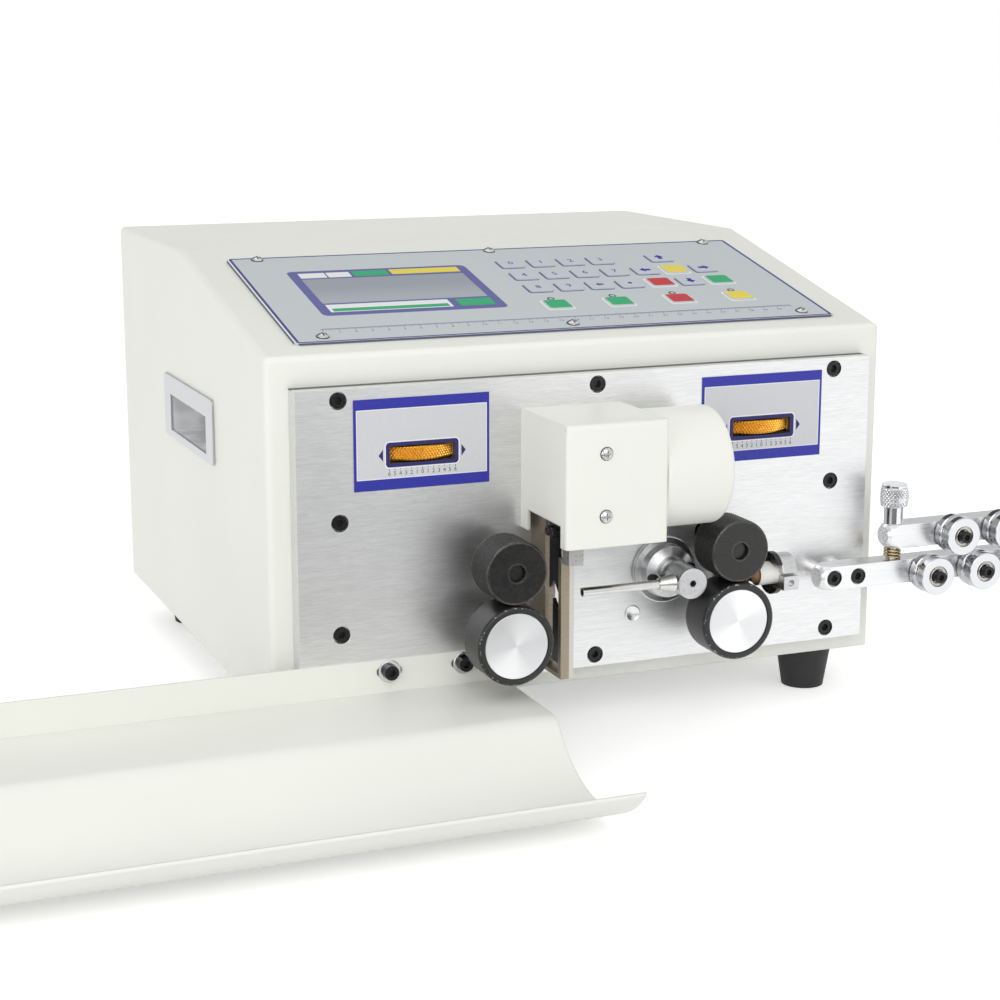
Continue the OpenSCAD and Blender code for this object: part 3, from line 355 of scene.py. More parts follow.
# %% [markdown]
# ### Steel, rubber and plastic
# The other finishes share one recipe: two colours mixed by a noise of the right grain, a gloss that
# follows the same noise, and a shallow bump. Only the numbers differ from one to the next: the light
# and the dark colour, the grain in cycles per metre, the roughness and the depth of the bump in metres.

# %% One recipe for the small finishes
def plain(name, light, dark, size, rough, depth, edge=0.0004, **sockets):
    f = Finish(name, **sockets)
    speck = f.noise(size=size, detail=4, roughness=0.6)
    share = f.ramp_of(speck, (0.36, 0), (0.64, 1))
    f.set(Base_Color=f.mix(share, dark, light), Roughness=rough + 0.14 * speck)
    f.grain(speck, depth, edge)
    return f.material


chrome = plain("bright_chrome", (0.74, 0.75, 0.77), (0.68, 0.69, 0.71), 60, 0.03, 0.000002, Metallic=1.0)
tube_steel = plain("ground_steel", (0.70, 0.695, 0.685), (0.63, 0.625, 0.615), 300, 0.14, 0.000003,
                   Metallic=1.0)
rail_steel = plain("brown_rail_steel", (0.43, 0.37, 0.29), (0.30, 0.25, 0.19), 900, 0.36, 0.00002,
                   Metallic=0.7)
dark_steel = plain("black_oxide_steel", (0.013, 0.012, 0.011), (0.009, 0.008, 0.008), 300, 0.20, 0.000003,
                   edge=0.0009)
screw_steel = plain("black_screw_steel", (0.012, 0.012, 0.013), (0.005, 0.005, 0.006), 900, 0.16, 0.00001,
                    edge=0.0006, Specular_IOR_Level=0.35)
foot_rubber = plain("foot_rubber", (0.018, 0.018, 0.019), (0.010, 0.010, 0.011), 700, 0.55, 0.00003)
motor_black = plain("motor_enamel", (0.030, 0.030, 0.032), (0.017, 0.017, 0.018), 400, 0.36, 0.00002)
gold = plain("gold_anodised", (0.80, 0.38, 0.045), (0.66, 0.29, 0.03), 300, 0.26, 0.00001, Metallic=0.85)
knurl_gold = plain("knurled_gold", (0.97, 0.56, 0.10), (0.90, 0.46, 0.06), 300, 0.20, 0.00001, Metallic=0.85)
board = plain("board_green", (0.03, 0.16, 0.07), (0.02, 0.10, 0.045), 250, 0.35, 0.00002)
black_plastic = plain("black_plastic", (0.025, 0.025, 0.026), (0.017, 0.017, 0.018), 900, 0.40, 0.00002)
red_plastic = plain("red_plastic", (0.50, 0.02, 0.015), (0.40, 0.012, 0.01), 700, 0.28, 0.00001)
blue_film = plain("label_blue_film", (0.024, 0.027, 0.37), (0.018, 0.021, 0.32), 700, 0.30, 0.000006)
screw_nickel = plain("nickel_screw_steel", (0.64, 0.64, 0.635), (0.46, 0.46, 0.455), 500, 0.10, 0.00001,
                     Metallic=1.0)
bearing_steel = plain("bearing_shield_steel", (0.60, 0.575, 0.53), (0.45, 0.43, 0.395), 400, 0.16, 0.000004,
                      Metallic=1.0)
brass = plain("spring_brass", (0.58, 0.46, 0.27), (0.42, 0.33, 0.19), 500, 0.18, 0.000004, Metallic=1.0)
print("made", len(Finish.made), "finishes")

# %% [markdown]
# ### Finishes that change from place to place
# Some parts show two finishes in one CAD node. The handle has a satin frame and a polished cup behind
# it, whose pale patches are painted highlights on a colour lifted as painted light. The tyres are worn pale
# along the rim. The inlet bush is nylon with a brown tip. The blade holder has black screws, and the
# brown rail beside it a pale bevel. A straightener roller is painted darker behind its bright face, a
# painted reflection. The console film's cut edge is painted dark, a painted shadow. The display is a grey
# glass with a fine dot grid, and a painted reflection makes it paler towards its lower edge. Each uses a
# mask made from the Object coordinates.

# %% Handle, tyres and bush
SKIN = 0.0002
ROLLER_Y0, TYRE_RIM_R, TYRE_RIM_D = -61, 22.2, 0.9
BUSH_TIP_X = 90.2


def handle_finish():
    f = Finish("handle_plated_steel")
    low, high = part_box("housing_cover")
    inside = f.along(0, datum.x).size() < (high.x - low.x) / 2 - SKIN
    hammer_and_highlight_patches = f.noise(size=46, detail=1)
    # Painted highlights: the cup's white and grey patches. Its colour is lifted near white as painted light in
    # the shaded hollow of the cup.
    cup = f.mix(f.ramp_of(hammer_and_highlight_patches, (0.38, 0), (0.56, 1)), (0.70, 0.715, 0.73), (1.0, 1.0, 1.0))
    f.set(Base_Color=f.mix(inside, (0.55, 0.555, 0.575), cup), Roughness=0.34 - 0.16 * inside,
          Metallic=1 - 0.6 * inside)
    f.grain(hammer_and_highlight_patches * inside, 0.0005, 0.0006)
    return f.material


def tyre_finish(name, x):
    f = Finish(name)
    radius, _, _ = f.from_axis(x, DRIVE_Z)
    speck = f.noise((0.25, 3, 0.25), 500, 4, 0.6)
    front = f.along(1) < at(0, ROLLER_Y0 + TYRE_RIM_D, 0).y
    chips = f.ramp_of(f.noise(size=700, detail=3), (0.60, 0), (0.68, 1))
    chips = chips * front * (radius > TYRE_RIM_R * MM)
    dark = f.mix(speck, (0.010, 0.010, 0.011), (0.022, 0.022, 0.023))
    f.set(Base_Color=f.mix(chips, dark, (0.42, 0.42, 0.41)), Roughness=0.28 + 0.14 * speck)
    f.grain(speck, 0.00004, 0.0008)
    return f.material


def bush_finish():
    f = Finish("bush_nylon_and_tip", IOR=1.52)
    tip = f.along(0) < at(BUSH_TIP_X, 0, 0).x
    speck = f.noise(size=300, detail=3)
    white = f.mix(speck, (0.86, 0.845, 0.79), (0.92, 0.91, 0.86))
    f.set(Base_Color=f.mix(tip, white, (0.36, 0.20, 0.10)), Roughness=0.30 + 0.14 * speck)
    f.grain(speck, 0.00001, 0.0004)
    return f.material


handle_plate, bush_nylon = handle_finish(), bush_finish()
tyre = {side: tyre_finish(f"{name}_tyre_rubber", side * ROLLER_X) for side, name in SIDES}
print("made", handle_plate.name, bush_nylon.name, [m.name for m in tyre.values()])

# %% Blade holder, rail and roller barrels
BLADE_X, WIRE_Y = -42.4, -46
RAIL_BEVEL_X, RAIL_BEVEL_Y = -37.35, -55.6
GUIDE_LEN, GUIDE_FACE = 15, 0.2


def holder_finish():
    f = Finish("holder_steel_and_screws")
    near = f.along(1) > at(0, WIRE_Y - 8, 0).y
    screw = (f.along(0) < at(BLADE_X + 0.05, 0, 0).x) * near
    speck = f.noise(size=300, detail=3)
    steel = f.mix(speck, (0.50, 0.495, 0.485), (0.60, 0.595, 0.585))
    f.set(Base_Color=f.mix(screw, steel, (0.022, 0.022, 0.023)), Roughness=0.22 + 0.14 * speck,
          Metallic=0.6 * (1 - screw))
    f.grain(speck, 0.000004, 0.0003)
    return f.material


def rail_finish():
    f = Finish("rail_steel_and_bevel")
    bevel = (f.along(0) > at(RAIL_BEVEL_X, 0, 0).x) * (f.along(1) < at(0, RAIL_BEVEL_Y, 0).y)
    speck = f.noise(size=900, detail=4)
    brown = f.mix(speck, (0.30, 0.25, 0.19), (0.43, 0.37, 0.29))
    f.set(Base_Color=f.mix(bevel, brown, (0.62, 0.59, 0.55)), Roughness=0.36 + 0.14 * speck, Metallic=0.7)
    f.grain(speck, 0.00002, 0.0004)
    return f.material


def barrel_finish():
    f = Finish("roller_chrome_and_barrel", Metallic=1.0)
    barrel = f.along(1) > at(0, WIRE_Y - GUIDE_LEN / 2 + GUIDE_FACE, 0).y
    speck = f.noise(size=60, detail=4)
    # Painted reflection: the barrel behind the bright face is darker, as a dark band in the chrome.
    f.set(Base_Color=f.mix(barrel, (0.68, 0.69, 0.71), (0.46, 0.468, 0.485)), Roughness=0.04 + 0.14 * speck)
    f.grain(speck, 0.000002, 0.0004)
    return f.material


holder_steel, rail_plate, barrel_chrome = holder_finish(), rail_finish(), barrel_finish()
print("made", holder_steel.name, rail_plate.name, barrel_chrome.name)

# %% Console film and display
FILM_EDGE_SIDE, FILM_EDGE_FRONT = 0.0001, 0.0003
DOT_PITCH, DOT_GAP = 0.0006, 0.14


def film_finish():
    f = Finish("console_film", Specular_IOR_Level=0.3)
    low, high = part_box("console_panel")
    side = f.along(0, datum.x).size() > (high.x - low.x) / 2 - FILM_EDGE_SIDE
    front = f.along(1) < low.y + FILM_EDGE_FRONT
    speck = f.noise(size=1200, detail=4)
    pale = f.mix(speck, (0.548, 0.592, 0.605), (0.578, 0.622, 0.637))
    # Painted shadow: the dark band along the film's side and front edges.
    f.set(Base_Color=f.mix(side + front > 0.5, pale, (0.11, 0.11, 0.16)), Roughness=0.36 + 0.14 * speck)
    f.grain(speck, 0.000008, 0.0002)
    return f.material


def display_finish():
    f = Finish("display_glass", IOR=1.5, Coat_Weight=0.25, Coat_Roughness=0.04)
    low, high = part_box("display_window")
    depth = f.along(1, low.y) / (high.y - low.y)
    column = f.along(0) / DOT_PITCH % 1
    row = f.along(1) / DOT_PITCH % 1
    dots = (column > DOT_GAP) * (row > DOT_GAP)
    # Painted reflection: the glass is paler towards its lower edge.
    glow = f.mix(f.ramp_of(depth, (0.15, 0), (0.62, 1)), (0.48, 0.515, 0.57), (0.37, 0.40, 0.455))
    f.set(Base_Color=f.mix(dots, (0.34, 0.37, 0.42), glow), Roughness=0.34)
    return f.material


film, display_glass = film_finish(), display_finish()
print("made", film.name, display_glass.name)

# %% [markdown]
# ## Dress the CAD parts
# Every CAD node has one or two material slots with the record's names. Most nodes take the finish of
# their slot. The parts named in `special` differ from others with the same slot, such as the plate with
# its brushing, the bars, and the spun caps with their own axis.

# %% Give each CAD node its finish
by_slot = {
    "cream_paint": cream, "brushed_aluminium": turned_alu, "black_screw": screw_steel,
    "label_film": blue_film, "console_film": film, "display_glass": display_glass,
    "bright_steel": chrome, "plain_steel": tube_steel, "brown_steel": rail_steel, "black_steel": dark_steel,
    "black_rubber": foot_rubber, "motor_black": motor_black, "white_nylon": bush_nylon,
    "gold_anodised": gold, "board_green": board, "black_plastic": black_plastic, "red_plastic": red_plastic,
}
special = {
    "front_plate": plate_alu, "lower_bar": bar_alu, "upper_bar": bar_alu, "cross_screws": screw_nickel,
    "carry_handles": handle_plate, "guide_tube": tube_steel,
    "upper_holder": holder_steel, "blade_rails": rail_plate,
    **{f"guide_roller_{n}": barrel_chrome for n in range(1, 6)},
}
for side, name in SIDES:
    special[f"{name}_drive_tyre"], special[f"{name}_drive_cap"] = tyre[side], cap_finish[side]
    special[f"{name}_pressure_shaft"] = dark_steel
for name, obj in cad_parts.items():
    for i, old in enumerate(obj.data.materials):
        slot = old.name.split(".")[0]
        obj.data.materials[i] = special.get(name) or by_slot[slot]
print("dressed", len(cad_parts), "CAD nodes")

# %% [markdown]
# ## Print
# The scales and the console are printed films. Ink is a thin shape that stands a few hundredths of a
# millimetre on the film, so it stays crisp at any zoom and exports as geometry. `Print` collects such
# shapes in one mesh. `put` takes a flat place and a height to the machine, for the slope or the plate.

# %% The Print class
def rounded(x, y, w, h, r=0.3, steps=4):
    """The outline of a rectangle with round corners, about its middle."""
    corners = ((1, 1, 0), (-1, 1, 90), (-1, -1, 180), (1, -1, 270))
    turns = [(sx, sy, math.radians(a + 90 * i / steps)) for sx, sy, a in corners for i in range(steps + 1)]
    return [(x + sx * (w / 2 - r) + r * math.cos(t), y + sy * (h / 2 - r) + r * math.sin(t))
            for sx, sy, t in turns]


def circle(x, y, r, steps=20):
    turns = [math.tau * i / steps for i in range(steps)]
    return [(x + r * math.cos(t), y + r * math.sin(t)) for t in turns]


def kept_mesh(holder):
    """The evaluated mesh of a helper object, which is removed."""
    bpy.context.collection.objects.link(holder)
    bpy.context.view_layer.update()
    mesh = bpy.data.meshes.new_from_object(holder.evaluated_get(bpy.context.evaluated_depsgraph_get()))
    bpy.data.objects.remove(holder)
    return mesh


def close_up(work, mesh, gap):
    """Merges points of a bmesh that are closer than a gap, turns its faces outwards and keeps it."""
    bmesh.ops.remove_doubles(work, verts=work.verts, dist=gap)
    bmesh.ops.recalc_face_normals(work, faces=work.faces)
    work.to_mesh(mesh)
    work.free()


def add_piece(name, mesh, body):
    """A mesh as a piece that rides on a body."""
    piece = bpy.data.objects.new(name, mesh)
    bpy.context.collection.objects.link(piece)
    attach(piece, body)
    return piece


glyphs = {}


def glyph(sign):
    """A numeral as a solid of unit size, from Blender's own font."""
    if sign not in glyphs:
        curve = bpy.data.curves.new("numeral", "FONT")
        curve.body, curve.align_x, curve.align_y = sign, "CENTER", "CENTER"
        curve.resolution_u, curve.extrude = 2, 0.5
        mesh = kept_mesh(bpy.data.objects.new("numeral", curve))
        glyphs[sign] = [v.co.copy() for v in mesh.vertices], [tuple(p.vertices) for p in mesh.polygons]
    return glyphs[sign]


class Print:
    """Thin inked shapes in one mesh, each with the number of its ink."""

    def __init__(self, name, put, *inks):
        self.name, self.put, self.inks = name, put, inks
        self.points, self.faces, self.ink_of = [], [], []

    def add(self, points, faces, ink):
        first = len(self.points)
        self.points += [self.put(*p) for p in points]
        self.faces += [[first + i for i in face] for face in faces]
        self.ink_of += [self.inks.index(ink)] * len(faces)

    def shape(self, outline, low, high, ink):
        n = len(outline)
        sides = [(i, (i + 1) % n, n + (i + 1) % n, n + i) for i in range(n)]
        points = [(x, y, h) for h in (low, high) for x, y in outline]
        self.add(points, [list(range(n))[::-1], list(range(n, 2 * n))] + sides, ink)

    def ring(self, outer, inner, low, high, ink):
        n = len(outer)
        points = [(x, y, h) for h in (low, high) for line in (outer, inner) for x, y in line]
        bands = ((0, 2), (2, 3), (3, 1), (1, 0))
        steps = [(i, (i + 1) % n) for i in range(n)]
        faces = [(b * n + i, b * n + j, a * n + j, a * n + i) for a, b in bands for i, j in steps]
        self.add(points, faces, ink)

    def numeral(self, sign, x, y, size, low, high, ink):
        points, faces = glyph(sign)
        mid, tall = (low + high) / 2, high - low
        self.add([(x + p.x * size, y + p.y * size, mid + p.z * tall) for p in points], faces, ink)

    def finished(self, body):
        mesh = bpy.data.meshes.new(self.name)
        mesh.from_pydata(self.points, [], self.faces)
        for ink in self.inks:
            mesh.materials.append(ink)
        mesh.polygons.foreach_set("material_index", self.ink_of)
        work = bmesh.new()
        work.from_mesh(mesh)
        close_up(work, mesh, 1e-8)
        add_piece(self.name, mesh, body)
        print("printed", self.name, len(mesh.polygons), "faces")


# %% [markdown]
# ### Inks
# Printing ink is a thin coat with little gloss. All inks share the recipe of the small finishes, with a
# fine grain and no rounded edges, so that they differ in colour alone.

# %% Inks
def ink(name, colour):
    return plain(name, colour, shade(colour, 0.93), 1400, 0.36, 0.000004, edge=0.0, Specular_IOR_Level=0.3)


white_ink = ink("white_ink", (0.86, 0.865, 0.87))
field_ink = ink("pale_grey_ink", (0.64, 0.645, 0.67))
blue_ink = ink("blue_ink", (0.024, 0.027, 0.36))
violet_ink = ink("violet_ink", (0.14, 0.148, 0.37))
line_ink = ink("border_blue_ink", (0.075, 0.08, 0.26))
frame_ink = ink("window_frame_ink", (0.03, 0.025, 0.15))
navy_ink = ink("navy_ink", (0.045, 0.05, 0.26))
grey_ink_and_painted_shade = ink("dark_grey_ink", (0.045, 0.045, 0.065))
green_ink = ink("green_ink", (0.045, 0.44, 0.19))
red_ink = ink("red_ink", (0.60, 0.055, 0.06))
yellow_ink = ink("yellow_ink", (0.84, 0.70, 0.10))
key_ink = ink("key_ink", (0.58, 0.62, 0.665))
print("made", len(Finish.made), "finishes and inks")

# %% [markdown]
# ### The two scales
# Each thumbwheel turns behind a blue plate. The plate has a pale field with a white margin, a blue frame
# round the window, a dark lining in it, a triangle on either side for the two ways to turn, and a scale
# from 6 over 0 to 6. The ticks are the first thing here that repeats, so a small Geometry Nodes tree
# makes them.

# %% Geometry Nodes helper
def grown(name, tree, body, slot, to_place, **sizes):
    """Runs a Geometry Nodes tree once and keeps its result as a plain mesh on a body."""
    holder = bpy.data.objects.new(name, bpy.data.meshes.new(name))
    modifier = holder.modifiers.new("grown", "NODES")
    modifier.node_group = tree
    for item in tree.interface.items_tree:
        if item.in_out == "INPUT" and item.name in sizes:
            modifier[item.identifier] = sizes[item.name]
    mesh = kept_mesh(holder)
    mesh.transform(to_place)
    mesh.name = name
    print("grown", name, len(mesh.polygons), "faces")
    return add_piece(name, mesh, body)


class Growth(Net):
    """A Geometry Nodes tree with named inputs."""

    kinds = {float: "NodeSocketFloat", int: "NodeSocketInt", None: "NodeSocketMaterial"}

    def __init__(self, name, **inputs):
        super().__init__(bpy.data.node_groups.new(name, "GeometryNodeTree"))
        self.tree.interface.new_socket("Geometry", in_out="OUTPUT", socket_type="NodeSocketGeometry")
        for label, kind in {**inputs, "Finish": None}.items():
            self.tree.interface.new_socket(label, in_out="INPUT", socket_type=self.kinds[kind])
        self.source = self.tree.nodes.new("NodeGroupInput")
        self.sink = self.tree.nodes.new("NodeGroupOutput")

    def given(self, label):
        return Wire(self, self.source.outputs[label])

    def xyz(self, x, y, z):
        return self.node("ShaderNodeCombineXYZ", {}, {"X": x, "Y": y, "Z": z})

    def end(self, geometry):
        real = self.node("GeometryNodeRealizeInstances", {}, {"Geometry": geometry})
        finish = {"Geometry": real, "Material": self.given("Finish")}
        self.put(self.sink.inputs["Geometry"], self.node("GeometryNodeSetMaterial", {}, finish))
        return self.tree


# %% A tree that rules ticks
def tick_tree():
    """Ticks along X about the middle, longer at every `Half` and longest at every `Whole`."""
    g = Growth("ruled_ticks", Count=int, Pitch=float, Short=float, Medium=float, Long=float,
               Half=int, Whole=int, Width=float, Rise=float)
    index = g.node("GeometryNodeInputIndex")
    whole, half = index % g.given("Whole") < 0.5, index % g.given("Half") < 0.5
    length = g.given("Short") + half * (g.given("Medium") - g.given("Short"))
    length = length + whole * (g.given("Long") - g.given("Medium"))
    x = g.given("Pitch") * (index - (g.given("Count") - 1) * 0.5)
    spot = g.xyz(x, length * -0.5, g.given("Rise") * 0.5)
    points = g.node("GeometryNodePoints", {}, {"Count": g.given("Count"), "Position": spot})
    tick = g.node("GeometryNodeMeshCube", {}, {"Size": (1, 1, 1)})
    size = g.xyz(g.given("Width"), length, g.given("Rise"))
    placed = {"Points": points, "Instance": tick, "Scale": size}
    return g.end(g.node("GeometryNodeInstanceOnPoints", {}, placed))


ticks = tick_tree()
print("tree", ticks.name, "with", len(ticks.nodes), "nodes")

# %% Print the scales
WHEEL_X, WHEEL_Z, LABEL_Z = 110.5, 152, 158.4
LABEL_W, LABEL_H, LABEL_T = 82.5, 53, 0.6
WINDOW_W, WINDOW_H, LINING_T, LINING_D = 40, 10.5, 0.25, 3
BAND_LOW, BAND_HIGH, BAND_SIDE, MARGIN_W = 6.4, 6.0, 1.5, 0.5
POINTER_X, POINTER_W, POINTER_H = 23.9, 2.7, 3.5
SCALE_PITCH, SCALE_SIGNS, SCALE_DROP = 3.36, "6543210123456", 10.9
COAT = (0, 0.03, 0.05, 0.07)


def on_plate(x, z, h):
    return at(x, PLATE_Y - LABEL_T - h, z)


def print_scale(side, name):
    p = Print(f"{name}_scale_print", on_plate, white_ink, field_ink, frame_ink, grey_ink_and_painted_shade)
    x = side * WHEEL_X

    def round_window(w, h, r):
        return rounded(x, WHEEL_Z, WINDOW_W + w, WINDOW_H + h, r)

    low, high = LABEL_Z - LABEL_H / 2 + BAND_LOW, LABEL_Z + LABEL_H / 2 - BAND_HIGH
    mid, wide, tall = (low + high) / 2, LABEL_W - 2 * BAND_SIDE, high - low
    window, frame_edge = round_window(0, 0, 0.4), round_window(4.4, 4.0, 2.2)
    p.ring(rounded(x, mid, wide, tall), frame_edge, COAT[0], COAT[1], white_ink)
    inner = rounded(x, mid, wide - 2 * MARGIN_W, tall - 2 * MARGIN_W)
    p.ring(inner, round_window(5.8, 5.4, 2.8), COAT[1], COAT[2], field_ink)
    p.ring(frame_edge, window, COAT[0], COAT[2], frame_ink)
    p.ring(window, round_window(-2 * LINING_T, -2 * LINING_T, 0.4), -LINING_D, COAT[2], grey_ink_and_painted_shade)
    for way in (-1, 1):
        foot = x + way * POINTER_X
        tip = [(foot, WHEEL_Z - POINTER_H), (foot + way * POINTER_W, WHEEL_Z), (foot, WHEEL_Z + POINTER_H)]
        p.shape(tip[::way], COAT[2], COAT[3], frame_ink)
    for i, sign in enumerate(SCALE_SIGNS):
        place = x + (i - len(SCALE_SIGNS) // 2) * SCALE_PITCH
        p.numeral(sign, place, WHEEL_Z - SCALE_DROP, 3.5, COAT[2], COAT[3], grey_ink_and_painted_shade)
    p.finished("machine")
    foot = on_plate(x, WHEEL_Z - WINDOW_H / 2 - 2.7, COAT[2])
    upright = Matrix.Translation(foot) @ Matrix.Rotation(math.pi / 2, 4, "X")
    grown(f"{name}_scale_ticks", ticks, "machine", "label_film", upright, Count=len(SCALE_SIGNS),
          Pitch=SCALE_PITCH * MM, Short=0.0007, Medium=0.0014, Long=0.0014, Half=6, Whole=6,
          Width=0.00034, Rise=0.00002, Finish=grey_ink_and_painted_shade)


for side, name in SIDES:
    print_scale(side, name)

# %% [markdown]
# ### The console
# One film covers the whole panel: a blue border, a violet frame round the display with small coloured
# fields, raised keys and a ruler along the front. The keys are embossed in the CAD film, so the print
# lies on their tops: numerals, arrows and plain signs.

# %% Border, display frame and ruler
FILM, KEY_TOP, INKED = 1.5, 2.3, 0.04
CONSOLE_W, CONSOLE_S0, CONSOLE_LEN = 353, 16.5, 153.5
EDGE_X, EDGE_S, BORDER_X, BORDER_S = 2.4, 1.0, 3.6, 3.2
DISPLAY, MARGIN, DISPLAY_FRAME = (-90, 102.5, 101, 44.5), 5.5, (-87.2, 99.5, 118.6, 81, 4)
SCREW_X, SCREW_S, SCREW_R, SHADE_R = 157.5, (25.5, 165.5), 3.6, 4.0
RECESS_W, RECESS_LEN, RECESS_LOW, RECESS_TOPS = 0.95, 4.6, 1.0, (1.95, 1.93)
RULER_X, RULER_S, RULER_LEN, NUMERAL_S = 0.5, 37.6, 311, 31.4


def print_panel():
    inks = (line_ink, violet_ink, white_ink, green_ink, yellow_ink, navy_ink, grey_ink_and_painted_shade, display_glass)
    p = Print("console_border_print", slope, *inks)
    mid, inked = CONSOLE_S0 + CONSOLE_LEN / 2, FILM + INKED
    line = (0, mid, CONSOLE_W - EDGE_X, CONSOLE_LEN - EDGE_S)
    outer = rounded(0, mid, CONSOLE_W - 0.2, CONSOLE_LEN - 0.2, 3)
    p.ring(outer, rounded(*line, 2), FILM, inked, white_ink)
    inner = rounded(0, mid, line[2] - BORDER_X, line[3] - BORDER_S, 1.2)
    p.ring(rounded(*line, 2), inner, FILM, inked, line_ink)
    x, s, w, h = DISPLAY
    window = rounded(x + MARGIN / 2, s, w + MARGIN, h, 0.3)
    p.ring(rounded(*DISPLAY_FRAME), window, FILM, inked, violet_ink)
    p.shape(window, FILM, FILM + 0.5 * INKED, display_glass)
    strips = [(-131.5, 131.2, 17, 9, white_ink), (-114.5, 131.2, 15, 9, white_ink),
              (-93.5, 131.8, 23, 9.5, green_ink), (-57, 132.4, 46, 9, yellow_ink),
              (-101, 71.2, 78, 13, white_ink), (-101, 68.2, 74, 5, green_ink), (-45.5, 71.2, 23, 12, green_ink)]
    for i, (x, s, w, h, colour) in enumerate(strips):
        p.shape(rounded(x, s, w, h, 0.5), inked, FILM + INKED * (2 + 0.2 * i), colour)
    # Painted shade: dark fills in the cross recesses of the screws, and a painted shadow ring round each screw.
    for x in (-SCREW_X, 0, SCREW_X):
        for s in SCREW_S:
            for w, h, top in zip((RECESS_W, RECESS_LEN), (RECESS_LEN, RECESS_W), RECESS_TOPS):
                p.shape(rounded(x, s, w, h, 0.1), FILM + RECESS_LOW, FILM + top, grey_ink_and_painted_shade)
            p.ring(circle(x, s, SHADE_R), circle(x, s, SCREW_R), FILM, FILM + 0.3, grey_ink_and_painted_shade)
    p.shape(rounded(RULER_X, RULER_S, RULER_LEN, 0.35, 0.1), FILM, inked, navy_ink)
    for i in range(1, 31):
        for j, sign in enumerate(str(i)):
            place = RULER_X - RULER_LEN / 2 + 10 * i + (j - (len(str(i)) - 1) / 2) * 1.9
            p.numeral(sign, place, NUMERAL_S, 3.0, FILM, inked, navy_ink)
    p.finished("machine")
    lie = Matrix.Translation(slope(RULER_X, RULER_S, FILM)) @ Matrix.Rotation(SLOPE, 4, "X")
    grown("console_ruler_ticks", ticks, "machine", "console_film", lie, Count=RULER_LEN, Pitch=MM, Short=0.0016,
          Medium=0.0024, Long=0.0036, Half=5, Whole=10, Width=0.0003, Rise=INKED * MM, Finish=navy_ink)


print_panel()

# %% Keys, signs and lamps
KEY_X, KEY_PITCH, KEY_S, KEY_STEP, ARROW_X = 4, 21.2, 137, 23.6, 89.5
RUN_S, RUN_PITCH, LAMP_S, LAMP_R, LAMP_RIM_R = 58.5, 42, 69.6, 1.5, 2.3
KEY_W, KEY_H, DIGIT_SIZE, DIGIT_RISE = 16, 15, 7.6, 0.4


def arrow(x, s, turn, size=1.0):
    """The outline of an arrow that points up the slope, turned by quarter turns."""
    half = [(0, 4.2), (3.6, 0.4), (1.5, 0.4), (1.5, -3.6)]
    line = half + [(-a, b) for a, b in half[:0:-1]]
    c, d = math.cos(turn * math.pi / 2), math.sin(turn * math.pi / 2)
    return [(x + size * (a * c - b * d), s + size * (a * d + b * c)) for a, b in line][::-1]


def print_keys():
    inks = (key_ink, navy_ink, blue_ink, white_ink, green_ink, red_ink, yellow_ink, grey_ink_and_painted_shade)
    p = Print("console_key_print", slope, *inks)

    def key(x, s, colour):
        halo = colour is not key_ink
        grow, shift, under = (2.6, 0, white_ink) if halo else (0.6, -0.7, navy_ink)
        p.ring(rounded(x + shift, s + shift, KEY_W + grow, KEY_H + grow, 2.2),
               rounded(x, s, KEY_W - 0.6, KEY_H - 0.6, 2), FILM, FILM + INKED, under)
        p.shape(rounded(x, s, KEY_W - 1.2, KEY_H - 1.2, 1.6), KEY_TOP, KEY_TOP + INKED, colour)

    top, sign_top = KEY_TOP + INKED, KEY_TOP + 2 * INKED
    for n in range(12):
        x, s = KEY_X + n % 4 * KEY_PITCH, KEY_S - n // 4 * KEY_STEP
        key(x, s, key_ink)
        if n < 10:
            p.numeral(str(n), x, s + DIGIT_RISE, DIGIT_SIZE, top, sign_top, navy_ink)
    p.shape(arrow(KEY_X + 2 * KEY_PITCH, KEY_S - 2 * KEY_STEP, 1, 0.7), top, sign_top, navy_ink)
    p.shape(circle(KEY_X + 3 * KEY_PITCH, KEY_S - 2 * KEY_STEP, 1.5), top, sign_top, navy_ink)
    pad = [(1, 0, key_ink, 0), (0, 1, key_ink, 1), (1, 1, yellow_ink, None), (2, 1, key_ink, 3),
           (0, 2, red_ink, None), (1, 2, key_ink, 2), (2, 2, green_ink, None)]
    for i, j, colour, turn in pad:
        x, s = ARROW_X + i * KEY_PITCH, KEY_S - j * KEY_STEP
        key(x, s, colour)
        if turn is not None:
            p.shape(arrow(x, s, turn), top, sign_top, blue_ink)
    for i, colour in enumerate((green_ink, green_ink, red_ink, yellow_ink)):
        x = KEY_X + i * RUN_PITCH
        key(x, RUN_S, colour)
        p.ring(circle(x, LAMP_S, LAMP_RIM_R), circle(x, LAMP_S, LAMP_R), FILM, FILM + 0.3, grey_ink_and_painted_shade)
        p.shape(circle(x, LAMP_S, LAMP_R), FILM, FILM + 0.2, key_ink)
    p.finished("machine")


print_keys()

# %% [markdown]
# ## Knurling
# The thumbwheels, the pressure rollers and the straightener's knob have a diamond knurl, which gives the
# fingers and the wire a grip. A knurl is one small pyramid, repeated in rows round a cylinder, each row
# half a step on from the last. That is a rule, so Geometry Nodes grow it from a few sizes. `Crown` lets
# the radius fall off towards both ends, as on the knob.

